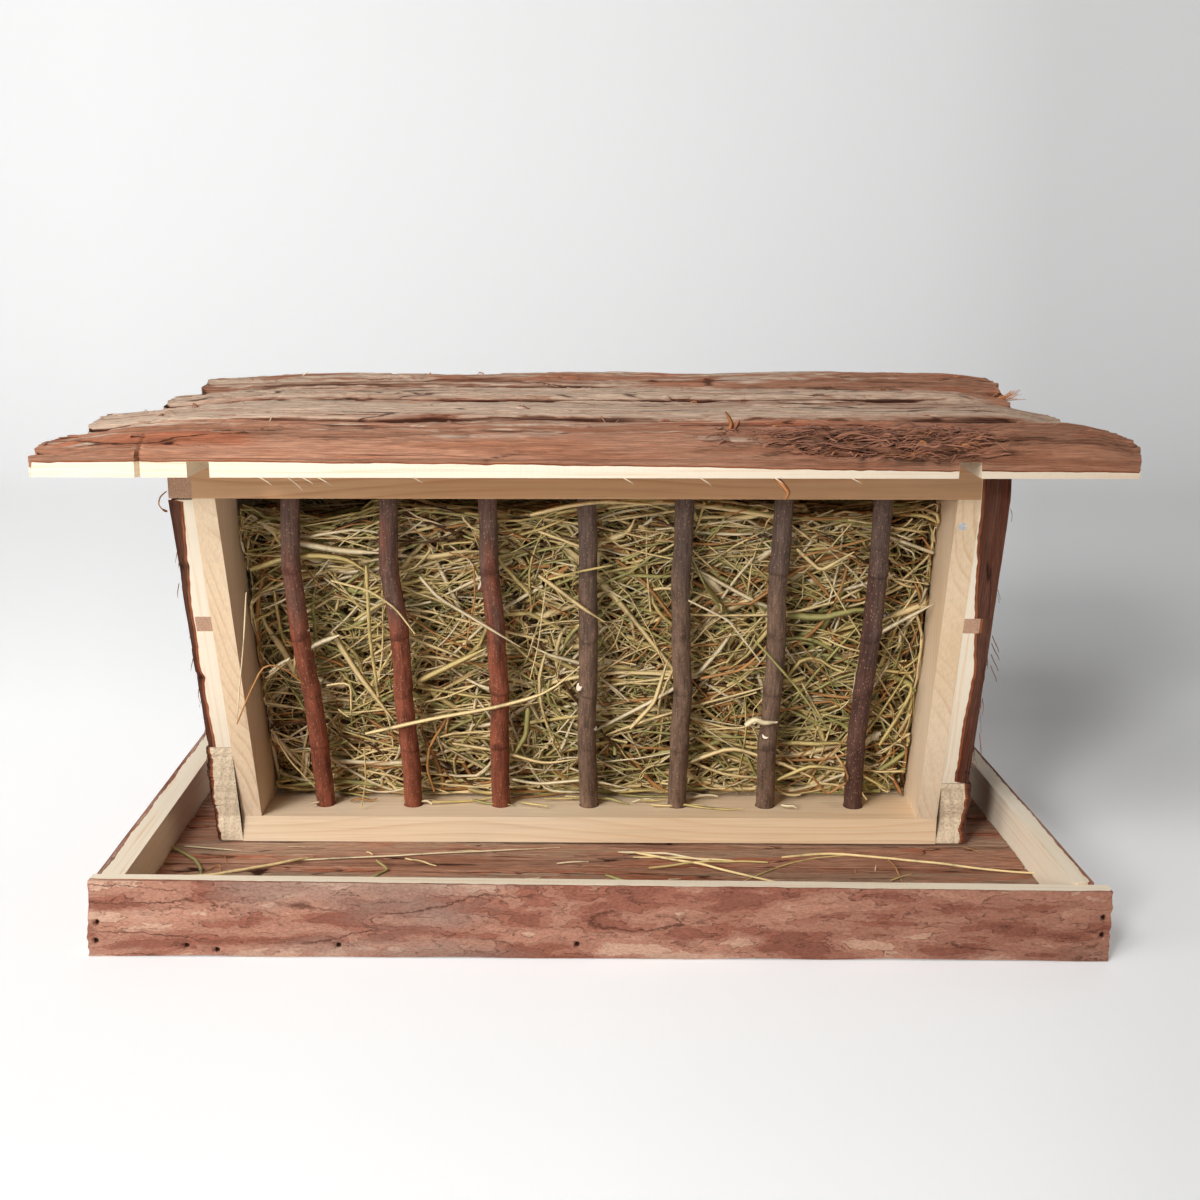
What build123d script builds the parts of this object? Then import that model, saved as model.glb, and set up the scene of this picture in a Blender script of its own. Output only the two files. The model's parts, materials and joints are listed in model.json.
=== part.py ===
"""Hay feeder box: a double-sided hay rack under a lift-off bark roof, standing in a bark-edged tray.

Millimetres. +Z is up, the front faces -Y, and +X is to the right as seen from the front.
The origin lies on the ground, under the middle of the rack.
"""
from build123d import *
import math
import os

os.makedirs("parts", exist_ok=True)

# ------------------------------------------------------------------ tray
tray_depth = 364.0             # over the bark of the front and back boards
tray_shift = 7.0               # the tray's front lies this far to +X of the rack's middle
tray_skew = 14.0               # the back board lies this far to -X of the front board
tray_end_gap = 19.0            # from the left side panel to the front end of the tray's side board
front_board_height_left = 47.5
front_board_height_right = 43.5
back_board_height = 45.0
end_board_height = 45.0
tray_board_foot = 12.0         # front and back boards: thickness along the bottom
tray_board_crest = 13.5        # through the bark in the middle
tray_board_edge = 9.5          # and along the top
end_board_edges = (17.0, 12.0)   # left and right side boards: thickness at their long edges
end_board_crests = (19.0, 15.0)
end_board_insets = (1.0, 5.0)  # side boards' bark stays this far inside the front board's ends
floor_plank_count = 4
floor_plank_thickness = 10.0
floor_plank_gap = 1.5
bearer_height = 10.0
bearer_width = 30.0
bearer_count = 3
bearer_margin = 55.0           # first bearer's middle, from the inside of the side board

# ------------------------------------------------------------------ rack
rail_length = 468.0            # all four rails, and the distance between the side panels
bottom_rail_depth = 48.0
bottom_rail_height = 18.0
bottom_rail_gap = 4.0          # between the front and back bottom rails
top_rail_depth = 50.0
top_rail_height = 20.0
rack_clear_height = 227.0      # from the bottom rail's top to the top rail's underside
rack_top_depth = 236.0         # over the front faces of the front and back top rails
post_width = 13.5
post_depth = 46.0

# ------------------------------------------------------------------ twig bars
twig_count = 7
twig_pitch = 60.5
twig_foot_radius = 6.5
twig_head_radius = 5.9
twig_knot_swell = 0.7          # how much a knot stands out
twig_hole_clearance = 0.3      # radial
twig_end_gap = 0.5             # between a twig's end and its hole's bottom
twig_hole_depth = 11.0
# Sideways bend of each bar at its knots, from foot to head.
twig_bends = (
    (0.0, -1.0, -4.0, -4.6),
    (0.6, -1.2, 0.0, -3.0),
    (1.0, 2.0, 1.2, -0.8),
    (-1.2, -0.6, 1.0, 0.8),
    (0.8, 1.6, -0.6, -1.4),
    (-1.0, 0.6, 0.4, -1.2),
    (-2.4, -1.4, 0.9, 0.4),
)
twig_knot_places = (0.22, 0.40, 0.58, 0.78)   # along the bar, from its foot

# ------------------------------------------------------------------ side panels
side_slab_edges = (15.0, 18.0)   # left and right upright slabs: thickness at their long edges
side_slab_crests = (18.0, 21.0)
side_slab_width = 60.0
side_slab_gap = 1.0
wedge_tip = 1.0                # half the middle slab's least width, where the outer slabs meet
lower_board_edges = (17.0, 20.0)
lower_board_crests = (20.0, 22.0)
lower_board_height_left = 72.0
lower_board_height_right = 46.0
side_top_batten_thickness = 14.0
cross_batten_size = 10.0       # square, let into the slabs' inner faces
cross_batten_level = 139.0     # its underside, above the bottom rails

# ------------------------------------------------------------------ roof
roof_depth = 346.0
roof_crests = (27.0, 30.0, 33.0, 38.0)        # slab thickness at the crown, front to back
roof_front_edge = 11.0         # sawn front edge of the front slab
roof_joint_edge = 13.0         # where two slabs meet, and along the back
roof_slab_gap = 1.0
roof_left_overhangs = (75.0, 75.0, 56.0, 54.0)   # past the rails' ends
roof_right_overhangs = (75.0, 62.0, 55.0, 66.0)
tie_batten_width = 10.0
tie_batten_height = 8.0
tie_batten_inset = 20.5        # middle of the batten, from the rails' ends
tie_groove_clearance = 1.25    # each side and above
roof_cleat_width = 12.0
roof_cleat_height = 9.0
roof_cleat_spacing = 210.0
roof_cleat_margin = 16.0       # cleats stop this far inside the roof's front and back edges
roof_stop_size = 10.0
roof_stop_length = 300.0
roof_stop_clearance = 2.0      # to the top rails

# ------------------------------------------------------------------ hay
hay_clearance = 3.5            # to the twigs
hay_end_clearance = 2.0        # to the posts
hay_floor_clearance = 0.5
hay_height = 196.0
hay_crown = 12.0

# ------------------------------------------------------------------ nails
nail_head_radius = 2.6
nail_head_thickness = 1.0
nail_shank_radius = 0.9
brad_head_radius = 1.3         # small heads, driven below the bark
long_nail = 35.0
short_nail = 12.0
nail_sink_length = 8.0         # how far the punched hole reaches outwards from the head

# ------------------------------------------------------------------ levels and places that follow
half_rail = rail_length / 2
end_board_inner = half_rail + max(lower_board_crests) + tray_end_gap + tray_shift
end_board_span = tray_depth - 2 * tray_board_crest
tray_left = tray_shift - end_board_inner - end_board_crests[0] - end_board_insets[0]
tray_right = tray_shift + end_board_inner + end_board_crests[1] + end_board_insets[1]
floor_level = bearer_height + floor_plank_thickness
rail_top = floor_level + bottom_rail_height
top_rail_level = rail_top + rack_clear_height
roof_level = top_rail_level + top_rail_height
bottom_face = bottom_rail_depth + bottom_rail_gap / 2     # bottom rails' outer face, from the middle
top_face = rack_top_depth / 2                             # top rails' outer face
bottom_middle = bottom_face - bottom_rail_depth / 2
top_middle = top_face - top_rail_depth / 2
post_run = top_face - bottom_face
twig_run = top_middle - bottom_middle
twig_lean = math.atan2(twig_run, rack_clear_height)

FRONT = -1
BACK = 1
LEFT = -1
RIGHT = 1


# ------------------------------------------------------------------ helpers
def block(x_range, y_range, z_range):
    """A box between three pairs of limits."""
    size = [high - low for low, high in (x_range, y_range, z_range)]
    middle = [(high + low) / 2 for low, high in (x_range, y_range, z_range)]
    return Pos(*middle) * Box(*size)


def span(*ends):
    """Two limits in rising order."""
    return min(ends), max(ends)


def slab_section(width, first_edge, crest, last_edge):
    """Section of a slab sawn flat on one side, with its bark side crowned."""
    sides = Polyline((0, first_edge), (0, 0), (width, 0), (width, last_edge))
    crown = ThreePointArc((width, last_edge), (width / 2, crest), (0, first_edge))
    return make_face(sides + crown)


def slab(origin, across, along, width, length, edges, crest):
    """A slab whose flat face holds origin, with its width in direction across."""
    plane = Plane(origin=origin, x_dir=across, z_dir=along)
    return extrude(plane * slab_section(width, edges[0], crest, edges[1]), length, dir=along)


def side_prism(points, x_range):
    """A prism along X over an outline given as (y, z) points."""
    plane = Plane(origin=(x_range[0], 0, 0), x_dir=(0, 1, 0), z_dir=(1, 0, 0))
    return extrude(plane * Polygon(*points, align=None), x_range[1] - x_range[0], dir=(1, 0, 0))


def post_face(z):
    """Distance of the posts' outer face from the middle plane at height z."""
    return bottom_face + post_run * (z - rail_top) / rack_clear_height


def twig_middle(z):
    """Distance of a twig's axis from the middle plane at height z."""
    return bottom_middle + twig_run * (z - rail_top) / rack_clear_height


def of_side(side, pair):
    """The left or the right one of a pair of sizes."""
    return pair[0] if side == LEFT else pair[1]


def tray_x(x, y):
    """X at depth y of a place that lies at x along the tray's front."""
    return x - tray_skew * (y / end_board_span + 0.5)


def twig_places():
    """X of each twig bar."""
    return [twig_pitch * (i - (twig_count - 1) / 2) for i in range(twig_count)]


def bearer_places():
    """X of each bearer's middle."""
    reach = end_board_inner - bearer_margin
    return [tray_shift - reach + 2 * reach * i / (bearer_count - 1) for i in range(bearer_count)]


# ------------------------------------------------------------------ tray pieces
def tray_front_board():
    tallest = max(front_board_height_left, front_board_height_right)
    board = slab(
        (tray_left, -end_board_span / 2, 0), (0, 0, 1), (1, 0, 0),
        tallest, tray_right - tray_left, (tray_board_foot, tray_board_edge), tray_board_crest,
    )
    plane = Plane(origin=(0, -end_board_span / 2, 0), x_dir=(1, 0, 0), z_dir=(0, -1, 0))
    face = Polygon(
        (tray_left, 0), (tray_right, 0),
        (tray_right, front_board_height_right), (tray_left, front_board_height_left), align=None,
    )
    return board & extrude(plane * face, tray_board_crest, dir=(0, -1, 0))


def tray_back_board():
    y = end_board_span / 2
    left, right = tray_x(tray_left, y), tray_x(tray_right, y)
    board = slab(
        (right, y, 0), (0, 0, 1), (-1, 0, 0),
        back_board_height, right - left, (tray_board_foot, tray_board_edge), tray_board_crest,
    )
    return board & block((left, right), (y, tray_depth / 2), (0, back_board_height))


def tray_end_board(side):
    """A side board, turned a little with the tray's skew and cut to length between front and back."""
    front_x = tray_shift + side * end_board_inner
    start, end = -side * end_board_span, side * end_board_span
    origin = Vector(tray_x(front_x, start), start, 0)
    along = Vector(tray_x(front_x, end), end, 0) - origin
    edge, crest = of_side(side, end_board_edges), of_side(side, end_board_crests)
    board = slab(origin, (0, 0, 1), along.normalized(), end_board_height, along.length, (edge, edge), crest)
    half = end_board_span / 2
    return board & block((tray_left - tray_skew, tray_right), (-half, half), (0, end_board_height))


def floor_plank(index):
    pitch = end_board_span / floor_plank_count
    y0 = -end_board_span / 2 + index * pitch
    first = y0 + (floor_plank_gap / 2 if index > 0 else 0)
    last = y0 + pitch - (floor_plank_gap / 2 if index < floor_plank_count - 1 else 0)
    left, right = tray_shift - end_board_inner, tray_shift + end_board_inner
    outline = Polygon(
        (tray_x(left, first), first), (tray_x(right, first), first),
        (tray_x(right, last), last), (tray_x(left, last), last), align=None,
    )
    return extrude(Plane(origin=(0, 0, bearer_height)) * outline, floor_plank_thickness, dir=(0, 0, 1))


def tray_bearer(x):
    x_range = (x - bearer_width / 2, x + bearer_width / 2)
    return block(x_range, (-end_board_span / 2, end_board_span / 2), (0, bearer_height))


# ------------------------------------------------------------------ rack pieces
def twig_axis(x, facing, z):
    return Vector(x, facing * twig_middle(z), z)


def twig_direction(facing):
    return Vector(0, facing * math.sin(twig_lean), math.cos(twig_lean))


def twig_hole(x, facing, z_from, z_to, radius):
    """A drilled hole along a twig's axis between two heights."""
    start = twig_axis(x, facing, z_from)
    length = (z_to - z_from) / math.cos(twig_lean)
    plane = Plane(origin=start, x_dir=(1, 0, 0), z_dir=twig_direction(facing))
    return extrude(plane * Circle(radius), length)


def bottom_rail(facing):
    rail = block(
        (-half_rail, half_rail), span(facing * bottom_rail_gap / 2, facing * bottom_face),
        (floor_level, rail_top),
    )
    for x in twig_places():
        radius = twig_foot_radius + twig_hole_clearance
        rail -= twig_hole(x, facing, rail_top - twig_hole_depth, rail_top + 2 * radius, radius)
    return rail


def top_rail(facing):
    rail = block(
        (-half_rail, half_rail), span(facing * (top_face - top_rail_depth), facing * top_face),
        (top_rail_level, roof_level),
    )
    for x in twig_places():
        radius = twig_head_radius + twig_hole_clearance
        rail -= twig_hole(x, facing, top_rail_level - 2 * radius, top_rail_level + twig_hole_depth, radius)
    return rail


def post(side, facing):
    """A post leaning out with the rack, between the bottom and top rails."""
    outline = [
        (facing * bottom_face, rail_top),
        (facing * (bottom_face - post_depth), rail_top),
        (facing * (top_face - post_depth), top_rail_level),
        (facing * top_face, top_rail_level),
    ]
    return side_prism(outline, span(side * half_rail, side * (half_rail - post_width)))


def twig(index, facing):
    """A crooked round bar: straight ends in the rails' holes, bends and knots between them."""
    x = twig_places()[index]
    order = index if facing == FRONT else twig_count - 1 - index
    bends = twig_bends[order % len(twig_bends)]
    tip = twig_end_gap * math.cos(twig_lean)
    foot = rail_top - twig_hole_depth + tip
    head = top_rail_level + twig_hole_depth - tip
    stations = [(foot, 0.0, 0.0), (rail_top, 0.0, 0.0)]
    for place, bend in zip(twig_knot_places, bends):
        level = rail_top + place * rack_clear_height
        stations.append((level, bend, twig_knot_swell))
    stations += [(top_rail_level, 0.0, 0.0), (head, 0.0, 0.0)]
    wires = []
    for z, bend, swell in stations:
        share = (z - rail_top) / rack_clear_height
        radius = twig_foot_radius + (twig_head_radius - twig_foot_radius) * min(max(share, 0.0), 1.0)
        middle = twig_axis(x + bend, facing, z)
        plane = Plane(origin=middle, x_dir=(1, 0, 0), z_dir=twig_direction(facing))
        wires.append((plane * Circle(radius + swell)).wire())
    return Solid.make_loft(wires, ruled=True)


# ------------------------------------------------------------------ side panels
def lower_board_height(side):
    return lower_board_height_left if side == LEFT else lower_board_height_right


def panel_outline(z_from, z_to, inset=0.0):
    """Outline of a side panel between two heights: the rack's own V."""
    levels = [z_from] + [z for z in (rail_top, top_rail_level) if z_from < z < z_to] + [z_to]
    reach = [min(max(post_face(z), bottom_face), top_face) - inset for z in levels]
    front = [(-r, z) for r, z in zip(reach, levels)]
    back = [(r, z) for r, z in zip(reach, levels)]
    return front + back[::-1]


def panel_x(side, depth):
    """X range from the panel's inner face outwards."""
    return span(side * half_rail, side * (half_rail + depth))


def cross_batten(side):
    low = rail_top + cross_batten_level
    return side_prism(panel_outline(low, low + cross_batten_size), panel_x(side, cross_batten_size))


def lower_board(side):
    """The wide board across the foot of a side panel, bark outwards."""
    height = lower_board_height(side)
    reach = post_face(floor_level + height) + 1.0
    edge, crest = of_side(side, lower_board_edges), of_side(side, lower_board_crests)
    board = slab(
        (side * half_rail, -side * reach, floor_level), (0, 0, 1), (0, side, 0),
        height, 2 * reach, (edge, edge), crest,
    )
    outline = panel_outline(floor_level, floor_level + height)
    return board & side_prism(outline, panel_x(side, crest))


def outer_side_slab(side, facing):
    """An upright slab that leans with the posts. The right front slab runs up to the roof."""
    full_height = side == RIGHT and facing == FRONT
    z_from = floor_level + lower_board_height(side)
    z_to = roof_level if full_height else top_rail_level
    lean = math.atan2(post_run, rack_clear_height)
    up = Vector(0, facing * math.sin(lean), math.cos(lean))
    extra = side_slab_width
    start = Vector(side * half_rail, facing * post_face(z_from), z_from) - up * extra
    length = (z_to - z_from) / math.cos(lean) + 2 * extra
    inwards = Vector(0, -facing * math.cos(lean), math.sin(lean))
    outwards = Vector(side, 0, 0)
    if up.cross(inwards).dot(outwards) < 0:
        start = start + up * length
        up = up * -1
    edge, crest = of_side(side, side_slab_edges), of_side(side, side_slab_crests)
    body = slab(start, inwards, up, side_slab_width, length, (edge, edge), crest)
    body &= side_prism(panel_outline(z_from, z_to), panel_x(side, crest))
    own_half = span(facing * side_slab_gap / 2, facing * top_face)
    body &= block(panel_x(side, crest), own_half, (z_from, z_to))
    return body - cross_batten(side)


def middle_side_slab(side):
    """The wedge between the two leaning slabs."""
    z_to = top_rail_level
    lean = math.atan2(post_run, rack_clear_height)
    inset = side_slab_width / math.cos(lean) + side_slab_gap
    z_meet = rail_top + (inset + wedge_tip - bottom_face) * rack_clear_height / post_run
    z_from = max(floor_level + lower_board_height(side), z_meet)
    reach = [post_face(z) - inset for z in (z_from, z_to)]
    outline = [(-reach[0], z_from), (-reach[1], z_to), (reach[1], z_to), (reach[0], z_from)]
    return side_prism(outline, panel_x(side, of_side(side, side_slab_edges))) - cross_batten(side)


def side_top_batten(side):
    """The batten along the top of a side panel, beside the top rails' ends."""
    lean = math.atan2(post_run, rack_clear_height)
    slab_reach = side_slab_width / math.cos(lean) + side_slab_gap
    front = -top_face + (slab_reach if side == RIGHT else 0.0)
    return block(panel_x(side, side_top_batten_thickness), (front, top_face), (top_rail_level, roof_level))


def tie_batten(side):
    """The batten that ties the two top rails and guides the roof."""
    x = side * (half_rail - tie_batten_inset)
    x_range = (x - tie_batten_width / 2, x + tie_batten_width / 2)
    return block(x_range, (-top_face, top_face), (roof_level, roof_level + tie_batten_height))


# ------------------------------------------------------------------ roof pieces
def roof_cleat(side):
    x = side * roof_cleat_spacing / 2
    x_range = (x - roof_cleat_width / 2, x + roof_cleat_width / 2)
    reach = roof_depth / 2 - roof_cleat_margin
    return block(x_range, (-reach, reach), (roof_level, roof_level + roof_cleat_height))


def roof_grooves():
    """The two open grooves that drop over the tie battens."""
    width = tie_batten_width + 2 * tie_groove_clearance
    for side in (LEFT, RIGHT):
        x = side * (half_rail - tie_batten_inset)
        yield block(
            (x - width / 2, x + width / 2), (-roof_depth, roof_depth),
            (roof_level - 1.0, roof_level + tie_batten_height + tie_groove_clearance),
        )


def roof_slab(index):
    count = len(roof_crests)
    pitch = roof_depth / count
    first = -roof_depth / 2 + index * pitch + (roof_slab_gap / 2 if index > 0 else 0)
    last = -roof_depth / 2 + (index + 1) * pitch - (roof_slab_gap / 2 if index < count - 1 else 0)
    x_left = -half_rail - roof_left_overhangs[index]
    x_right = half_rail + roof_right_overhangs[index]
    edges = (roof_front_edge if index == 0 else roof_joint_edge, roof_joint_edge)
    body = slab(
        (x_left, first, roof_level), (0, 1, 0), (1, 0, 0), last - first, x_right - x_left, edges,
        roof_crests[index],
    )
    for groove in roof_grooves():
        body -= groove
    for side in (LEFT, RIGHT):
        body -= roof_cleat(side)
    return body


def roof_stop(facing):
    """A strip under the roof that drops between the top rails."""
    near = top_face - top_rail_depth - roof_stop_clearance
    y_range = span(facing * near, facing * (near - roof_stop_size))
    return block((-roof_stop_length / 2, roof_stop_length / 2), y_range, (roof_level - roof_stop_size, roof_level))


# ------------------------------------------------------------------ hay
def hay_face(z):
    """Distance of the hay's face from the middle plane at height z."""
    return twig_middle(z) - (twig_foot_radius + twig_knot_swell) / math.cos(twig_lean) - hay_clearance


def hay_fill():
    z_from = rail_top + hay_floor_clearance
    z_to = rail_top + hay_height
    low, high = hay_face(z_from), hay_face(z_to)
    reach = half_rail - post_width - hay_end_clearance
    sides = Polyline((high, z_to), (low, z_from), (-low, z_from), (-high, z_to))
    crown = ThreePointArc((-high, z_to), (0, z_to + hay_crown), (high, z_to))
    plane = Plane(origin=(-reach, 0, 0), x_dir=(0, 1, 0), z_dir=(1, 0, 0))
    return extrude(plane * make_face(sides + crown), 2 * reach, dir=(1, 0, 0))


# ------------------------------------------------------------------ nails
def nail(head, direction, length, head_radius=nail_head_radius):
    """A nail and the hole it makes. head is the middle of the head's outer face."""
    plane = Plane(origin=head, z_dir=direction)
    body = extrude(plane * Circle(nail_shank_radius), length)
    body += extrude(plane * Circle(head_radius), nail_head_thickness)
    hole = body + extrude(plane * Circle(head_radius), -nail_sink_length)
    return body, hole


def tray_nails():
    nails = []
    face = end_board_span / 2 + tray_board_edge
    for facing in (FRONT, BACK):
        for side in (LEFT, RIGHT):
            x = tray_shift + side * (end_board_inner + of_side(side, end_board_edges) / 2)
            x = tray_x(x, facing * end_board_span / 2)
            for level in (0.3, 0.72):
                head = (x, facing * face, level * end_board_height)
                nails.append(nail(head, (0, -facing, 0), long_nail, brad_head_radius))
        for x in bearer_places():
            for shift in (-bearer_width / 4, bearer_width / 4):
                head = (x + shift, facing * face, bearer_height / 2)
                nails.append(nail(head, (0, -facing, 0), long_nail, brad_head_radius))
        for x in (-1.5 * twig_pitch, 1.5 * twig_pitch):
            head = (x, facing * bottom_middle, bearer_height)
            length = floor_plank_thickness + bottom_rail_height * 0.7
            nails.append(nail(head, (0, 0, 1), length))
    pitch = end_board_span / floor_plank_count
    for index in range(floor_plank_count):
        outer = index in (0, floor_plank_count - 1)
        for x in bearer_places():
            y = -end_board_span / 2 + (index + 0.5) * pitch
            if outer:
                nails.append(nail((x, y, floor_level), (0, 0, -1), floor_level * 0.8))
    return nails


def panel_nail(side, y, z, depth, length=long_nail):
    return nail((side * (half_rail + depth), y, z), (-side, 0, 0), length)


def frame_nails():
    nails = []
    lean = math.atan2(post_run, rack_clear_height)
    for side in (LEFT, RIGHT):
        board_top = floor_level + lower_board_height(side)
        slab_edge = of_side(side, side_slab_edges)
        board_edge = of_side(side, lower_board_edges)
        batten_z = rail_top + cross_batten_level + cross_batten_size / 2
        for facing in (FRONT, BACK):
            y = facing * bottom_middle
            nails.append(panel_nail(side, y, floor_level + bottom_rail_height / 2, board_edge))
            y = facing * (top_middle + top_rail_depth / 5)
            z = top_rail_level + top_rail_height / 2
            covered = side == RIGHT and facing == FRONT
            nails.append(panel_nail(side, y, z, slab_edge if covered else side_top_batten_thickness))
            for z in (board_top + 24.0, top_rail_level - 26.0):
                y = facing * (post_face(z) - post_depth / 2)
                nails.append(panel_nail(side, y, z, slab_edge, slab_edge + post_width * 0.7))
            y = facing * (post_face(batten_z) - side_slab_width / math.cos(lean) / 2)
            nails.append(panel_nail(side, y, batten_z, slab_edge, short_nail))
        nails.append(panel_nail(side, 0, batten_z, slab_edge, short_nail))
        x = side * (half_rail - tie_batten_inset)
        for facing in (FRONT, BACK):
            y = facing * (top_middle - top_rail_depth / 4)
            length = tie_batten_height + top_rail_height * 0.7
            nails.append(nail((x, y, roof_level + tie_batten_height), (0, 0, -1), length))
    inwards = Vector(0, math.cos(lean), math.sin(lean))
    z = top_rail_level - 17.0
    head = Vector(half_rail - post_width * 0.66, -post_face(z), z)
    nails.append(nail(head, inwards, post_depth * 0.7))
    return nails


def roof_nails():
    nails = []
    pitch = roof_depth / len(roof_crests)
    for side in (LEFT, RIGHT):
        x = side * roof_cleat_spacing / 2
        for index, crest in enumerate(roof_crests):
            y = -roof_depth / 2 + (index + 0.5) * pitch
            nails.append(nail((x, y, roof_level), (0, 0, 1), crest * 0.75))
    for facing in (FRONT, BACK):
        y = facing * (top_face - top_rail_depth - roof_stop_clearance - roof_stop_size / 2)
        for share in (-0.46, -0.16, 0.16, 0.46):
            x = share * roof_stop_length
            length = roof_stop_size + roof_joint_edge * 0.8
            nails.append(nail((x, y, roof_level - roof_stop_size), (0, 0, 1), length, brad_head_radius))
    return nails


def touches(one, other):
    """Whether two bounding boxes meet."""
    a, b = one.bounding_box(), other.bounding_box()
    return all(
        low <= high
        for low, high in (
            (a.min.X, b.max.X), (b.min.X, a.max.X),
            (a.min.Y, b.max.Y), (b.min.Y, a.max.Y),
            (a.min.Z, b.max.Z), (b.min.Z, a.max.Z),
        )
    )


def drive(nails, pieces):
    """Makes the nails' holes in the pieces."""
    for name, piece in pieces.items():
        for _, hole in nails:
            if touches(piece, hole):
                piece = piece - hole
        pieces[name] = piece


# ------------------------------------------------------------------ assembly
tray = {
    "tray_front_board": tray_front_board(),
    "tray_back_board": tray_back_board(),
    "tray_left_board": tray_end_board(LEFT),
    "tray_right_board": tray_end_board(RIGHT),
}
for plank_index in range(floor_plank_count):
    tray[f"floor_plank_{plank_index + 1}"] = floor_plank(plank_index)
for bearer_index, bearer_x in enumerate(bearer_places()):
    tray[f"tray_bearer_{bearer_index + 1}"] = tray_bearer(bearer_x)

rack = {}
twigs = {}
for facing_name, facing_sign in (("front", FRONT), ("back", BACK)):
    rack[f"bottom_rail_{facing_name}"] = bottom_rail(facing_sign)
    rack[f"top_rail_{facing_name}"] = top_rail(facing_sign)
    for twig_index in range(twig_count):
        twigs[f"twig_{facing_name}_{twig_index + 1}"] = twig(twig_index, facing_sign)
for side_name, side_sign in (("left", LEFT), ("right", RIGHT)):
    rack[f"lower_board_{side_name}"] = lower_board(side_sign)
    rack[f"side_slab_{side_name}_middle"] = middle_side_slab(side_sign)
    rack[f"side_top_batten_{side_name}"] = side_top_batten(side_sign)
    rack[f"cross_batten_{side_name}"] = cross_batten(side_sign)
    rack[f"tie_batten_{side_name}"] = tie_batten(side_sign)
    for facing_name, facing_sign in (("front", FRONT), ("back", BACK)):
        rack[f"post_{facing_name}_{side_name}"] = post(side_sign, facing_sign)
        rack[f"side_slab_{side_name}_{facing_name}"] = outer_side_slab(side_sign, facing_sign)

roof = {f"roof_slab_{i + 1}": roof_slab(i) for i in range(len(roof_crests))}
for side_name, side_sign in (("left", LEFT), ("right", RIGHT)):
    roof[f"roof_cleat_{side_name}"] = roof_cleat(side_sign)
for facing_name, facing_sign in (("front", FRONT), ("back", BACK)):
    roof[f"roof_stop_{facing_name}"] = roof_stop(facing_sign)

nail_groups = {"tray_nails": tray_nails(), "frame_nails": frame_nails(), "roof_nails": roof_nails()}
drive(nail_groups["tray_nails"], tray)
drive(nail_groups["tray_nails"], rack)
drive(nail_groups["frame_nails"], rack)
drive(nail_groups["roof_nails"], roof)

pieces = {**tray, **rack, **twigs, **roof, "hay_fill": hay_fill()}
for group_name, group in nail_groups.items():
    pieces[group_name] = Compound(children=[Compound(body).solid() for body, _ in group])

for node, shape in pieces.items():
    export_step(shape, f"parts/{node}.step")
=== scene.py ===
import json
import math

import bpy
import numpy as np
from bpy.props import FloatProperty, FloatVectorProperty, IntProperty, PointerProperty
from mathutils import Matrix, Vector

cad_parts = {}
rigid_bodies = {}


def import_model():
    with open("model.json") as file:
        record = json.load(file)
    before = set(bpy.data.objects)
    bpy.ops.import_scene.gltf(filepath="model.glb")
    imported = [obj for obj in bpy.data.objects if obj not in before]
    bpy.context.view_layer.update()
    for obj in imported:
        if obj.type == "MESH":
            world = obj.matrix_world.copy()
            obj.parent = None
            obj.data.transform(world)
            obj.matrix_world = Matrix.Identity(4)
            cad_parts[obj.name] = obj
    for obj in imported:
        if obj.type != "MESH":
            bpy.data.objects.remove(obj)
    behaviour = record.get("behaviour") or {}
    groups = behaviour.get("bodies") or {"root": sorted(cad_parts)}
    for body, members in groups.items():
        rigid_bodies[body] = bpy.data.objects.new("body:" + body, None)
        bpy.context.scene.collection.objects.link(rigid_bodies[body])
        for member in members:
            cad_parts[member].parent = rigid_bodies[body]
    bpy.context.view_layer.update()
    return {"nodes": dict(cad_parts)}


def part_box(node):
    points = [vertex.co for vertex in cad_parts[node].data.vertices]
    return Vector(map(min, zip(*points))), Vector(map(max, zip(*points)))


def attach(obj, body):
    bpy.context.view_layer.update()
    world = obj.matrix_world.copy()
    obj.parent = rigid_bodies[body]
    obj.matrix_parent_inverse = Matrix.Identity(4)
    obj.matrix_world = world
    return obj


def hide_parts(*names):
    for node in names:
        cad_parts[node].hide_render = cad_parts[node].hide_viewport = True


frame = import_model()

bl_info = {
    "name": "Hay feeder box",
    "version": (1, 0, 0),
    "blender": (4, 5, 0),
    "location": "3D View > Sidebar > Hay feeder",
    "description": "Dresses the hay feeder's frame in bark, sawn wood, twigs and hay",
    "category": "Add Mesh",
}

MM = 0.001
# numbers of the roof's slabs and of the floor's planks, from the front to the back
ROW = (1, 2, 3, 4)
LEFT, RIGHT = -1, 1
FRONT, BACK = -1, 1
SIDE_NAMES = {LEFT: "left", RIGHT: "right"}
FACE_NAMES = {FRONT: "front", BACK: "back"}


def srgb(text):
    """An sRGB hex value as a linear colour."""
    parts = [int(text[i:i + 2], 16) / 255 for i in (0, 2, 4)]
    return tuple(p / 12.92 if p <= 0.04045 else ((p + 0.055) / 1.055) ** 2.4 for p in parts)


def colour(label, told, value):
    """A colour setting with an sRGB hex default."""
    return FloatVectorProperty(name=label, description=told, default=srgb(value), subtype="COLOR",
                               size=3, min=0.0, max=1.0)


def size(label, told, millimetres):
    """A length setting with a default in millimetres."""
    return FloatProperty(name=label, description=told, default=millimetres * MM, min=0.0,
                         unit="LENGTH", precision=5)


def amount(label, told, value, **more):
    """A plain number setting."""
    return FloatProperty(name=label, description=told, default=value, **more)


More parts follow.
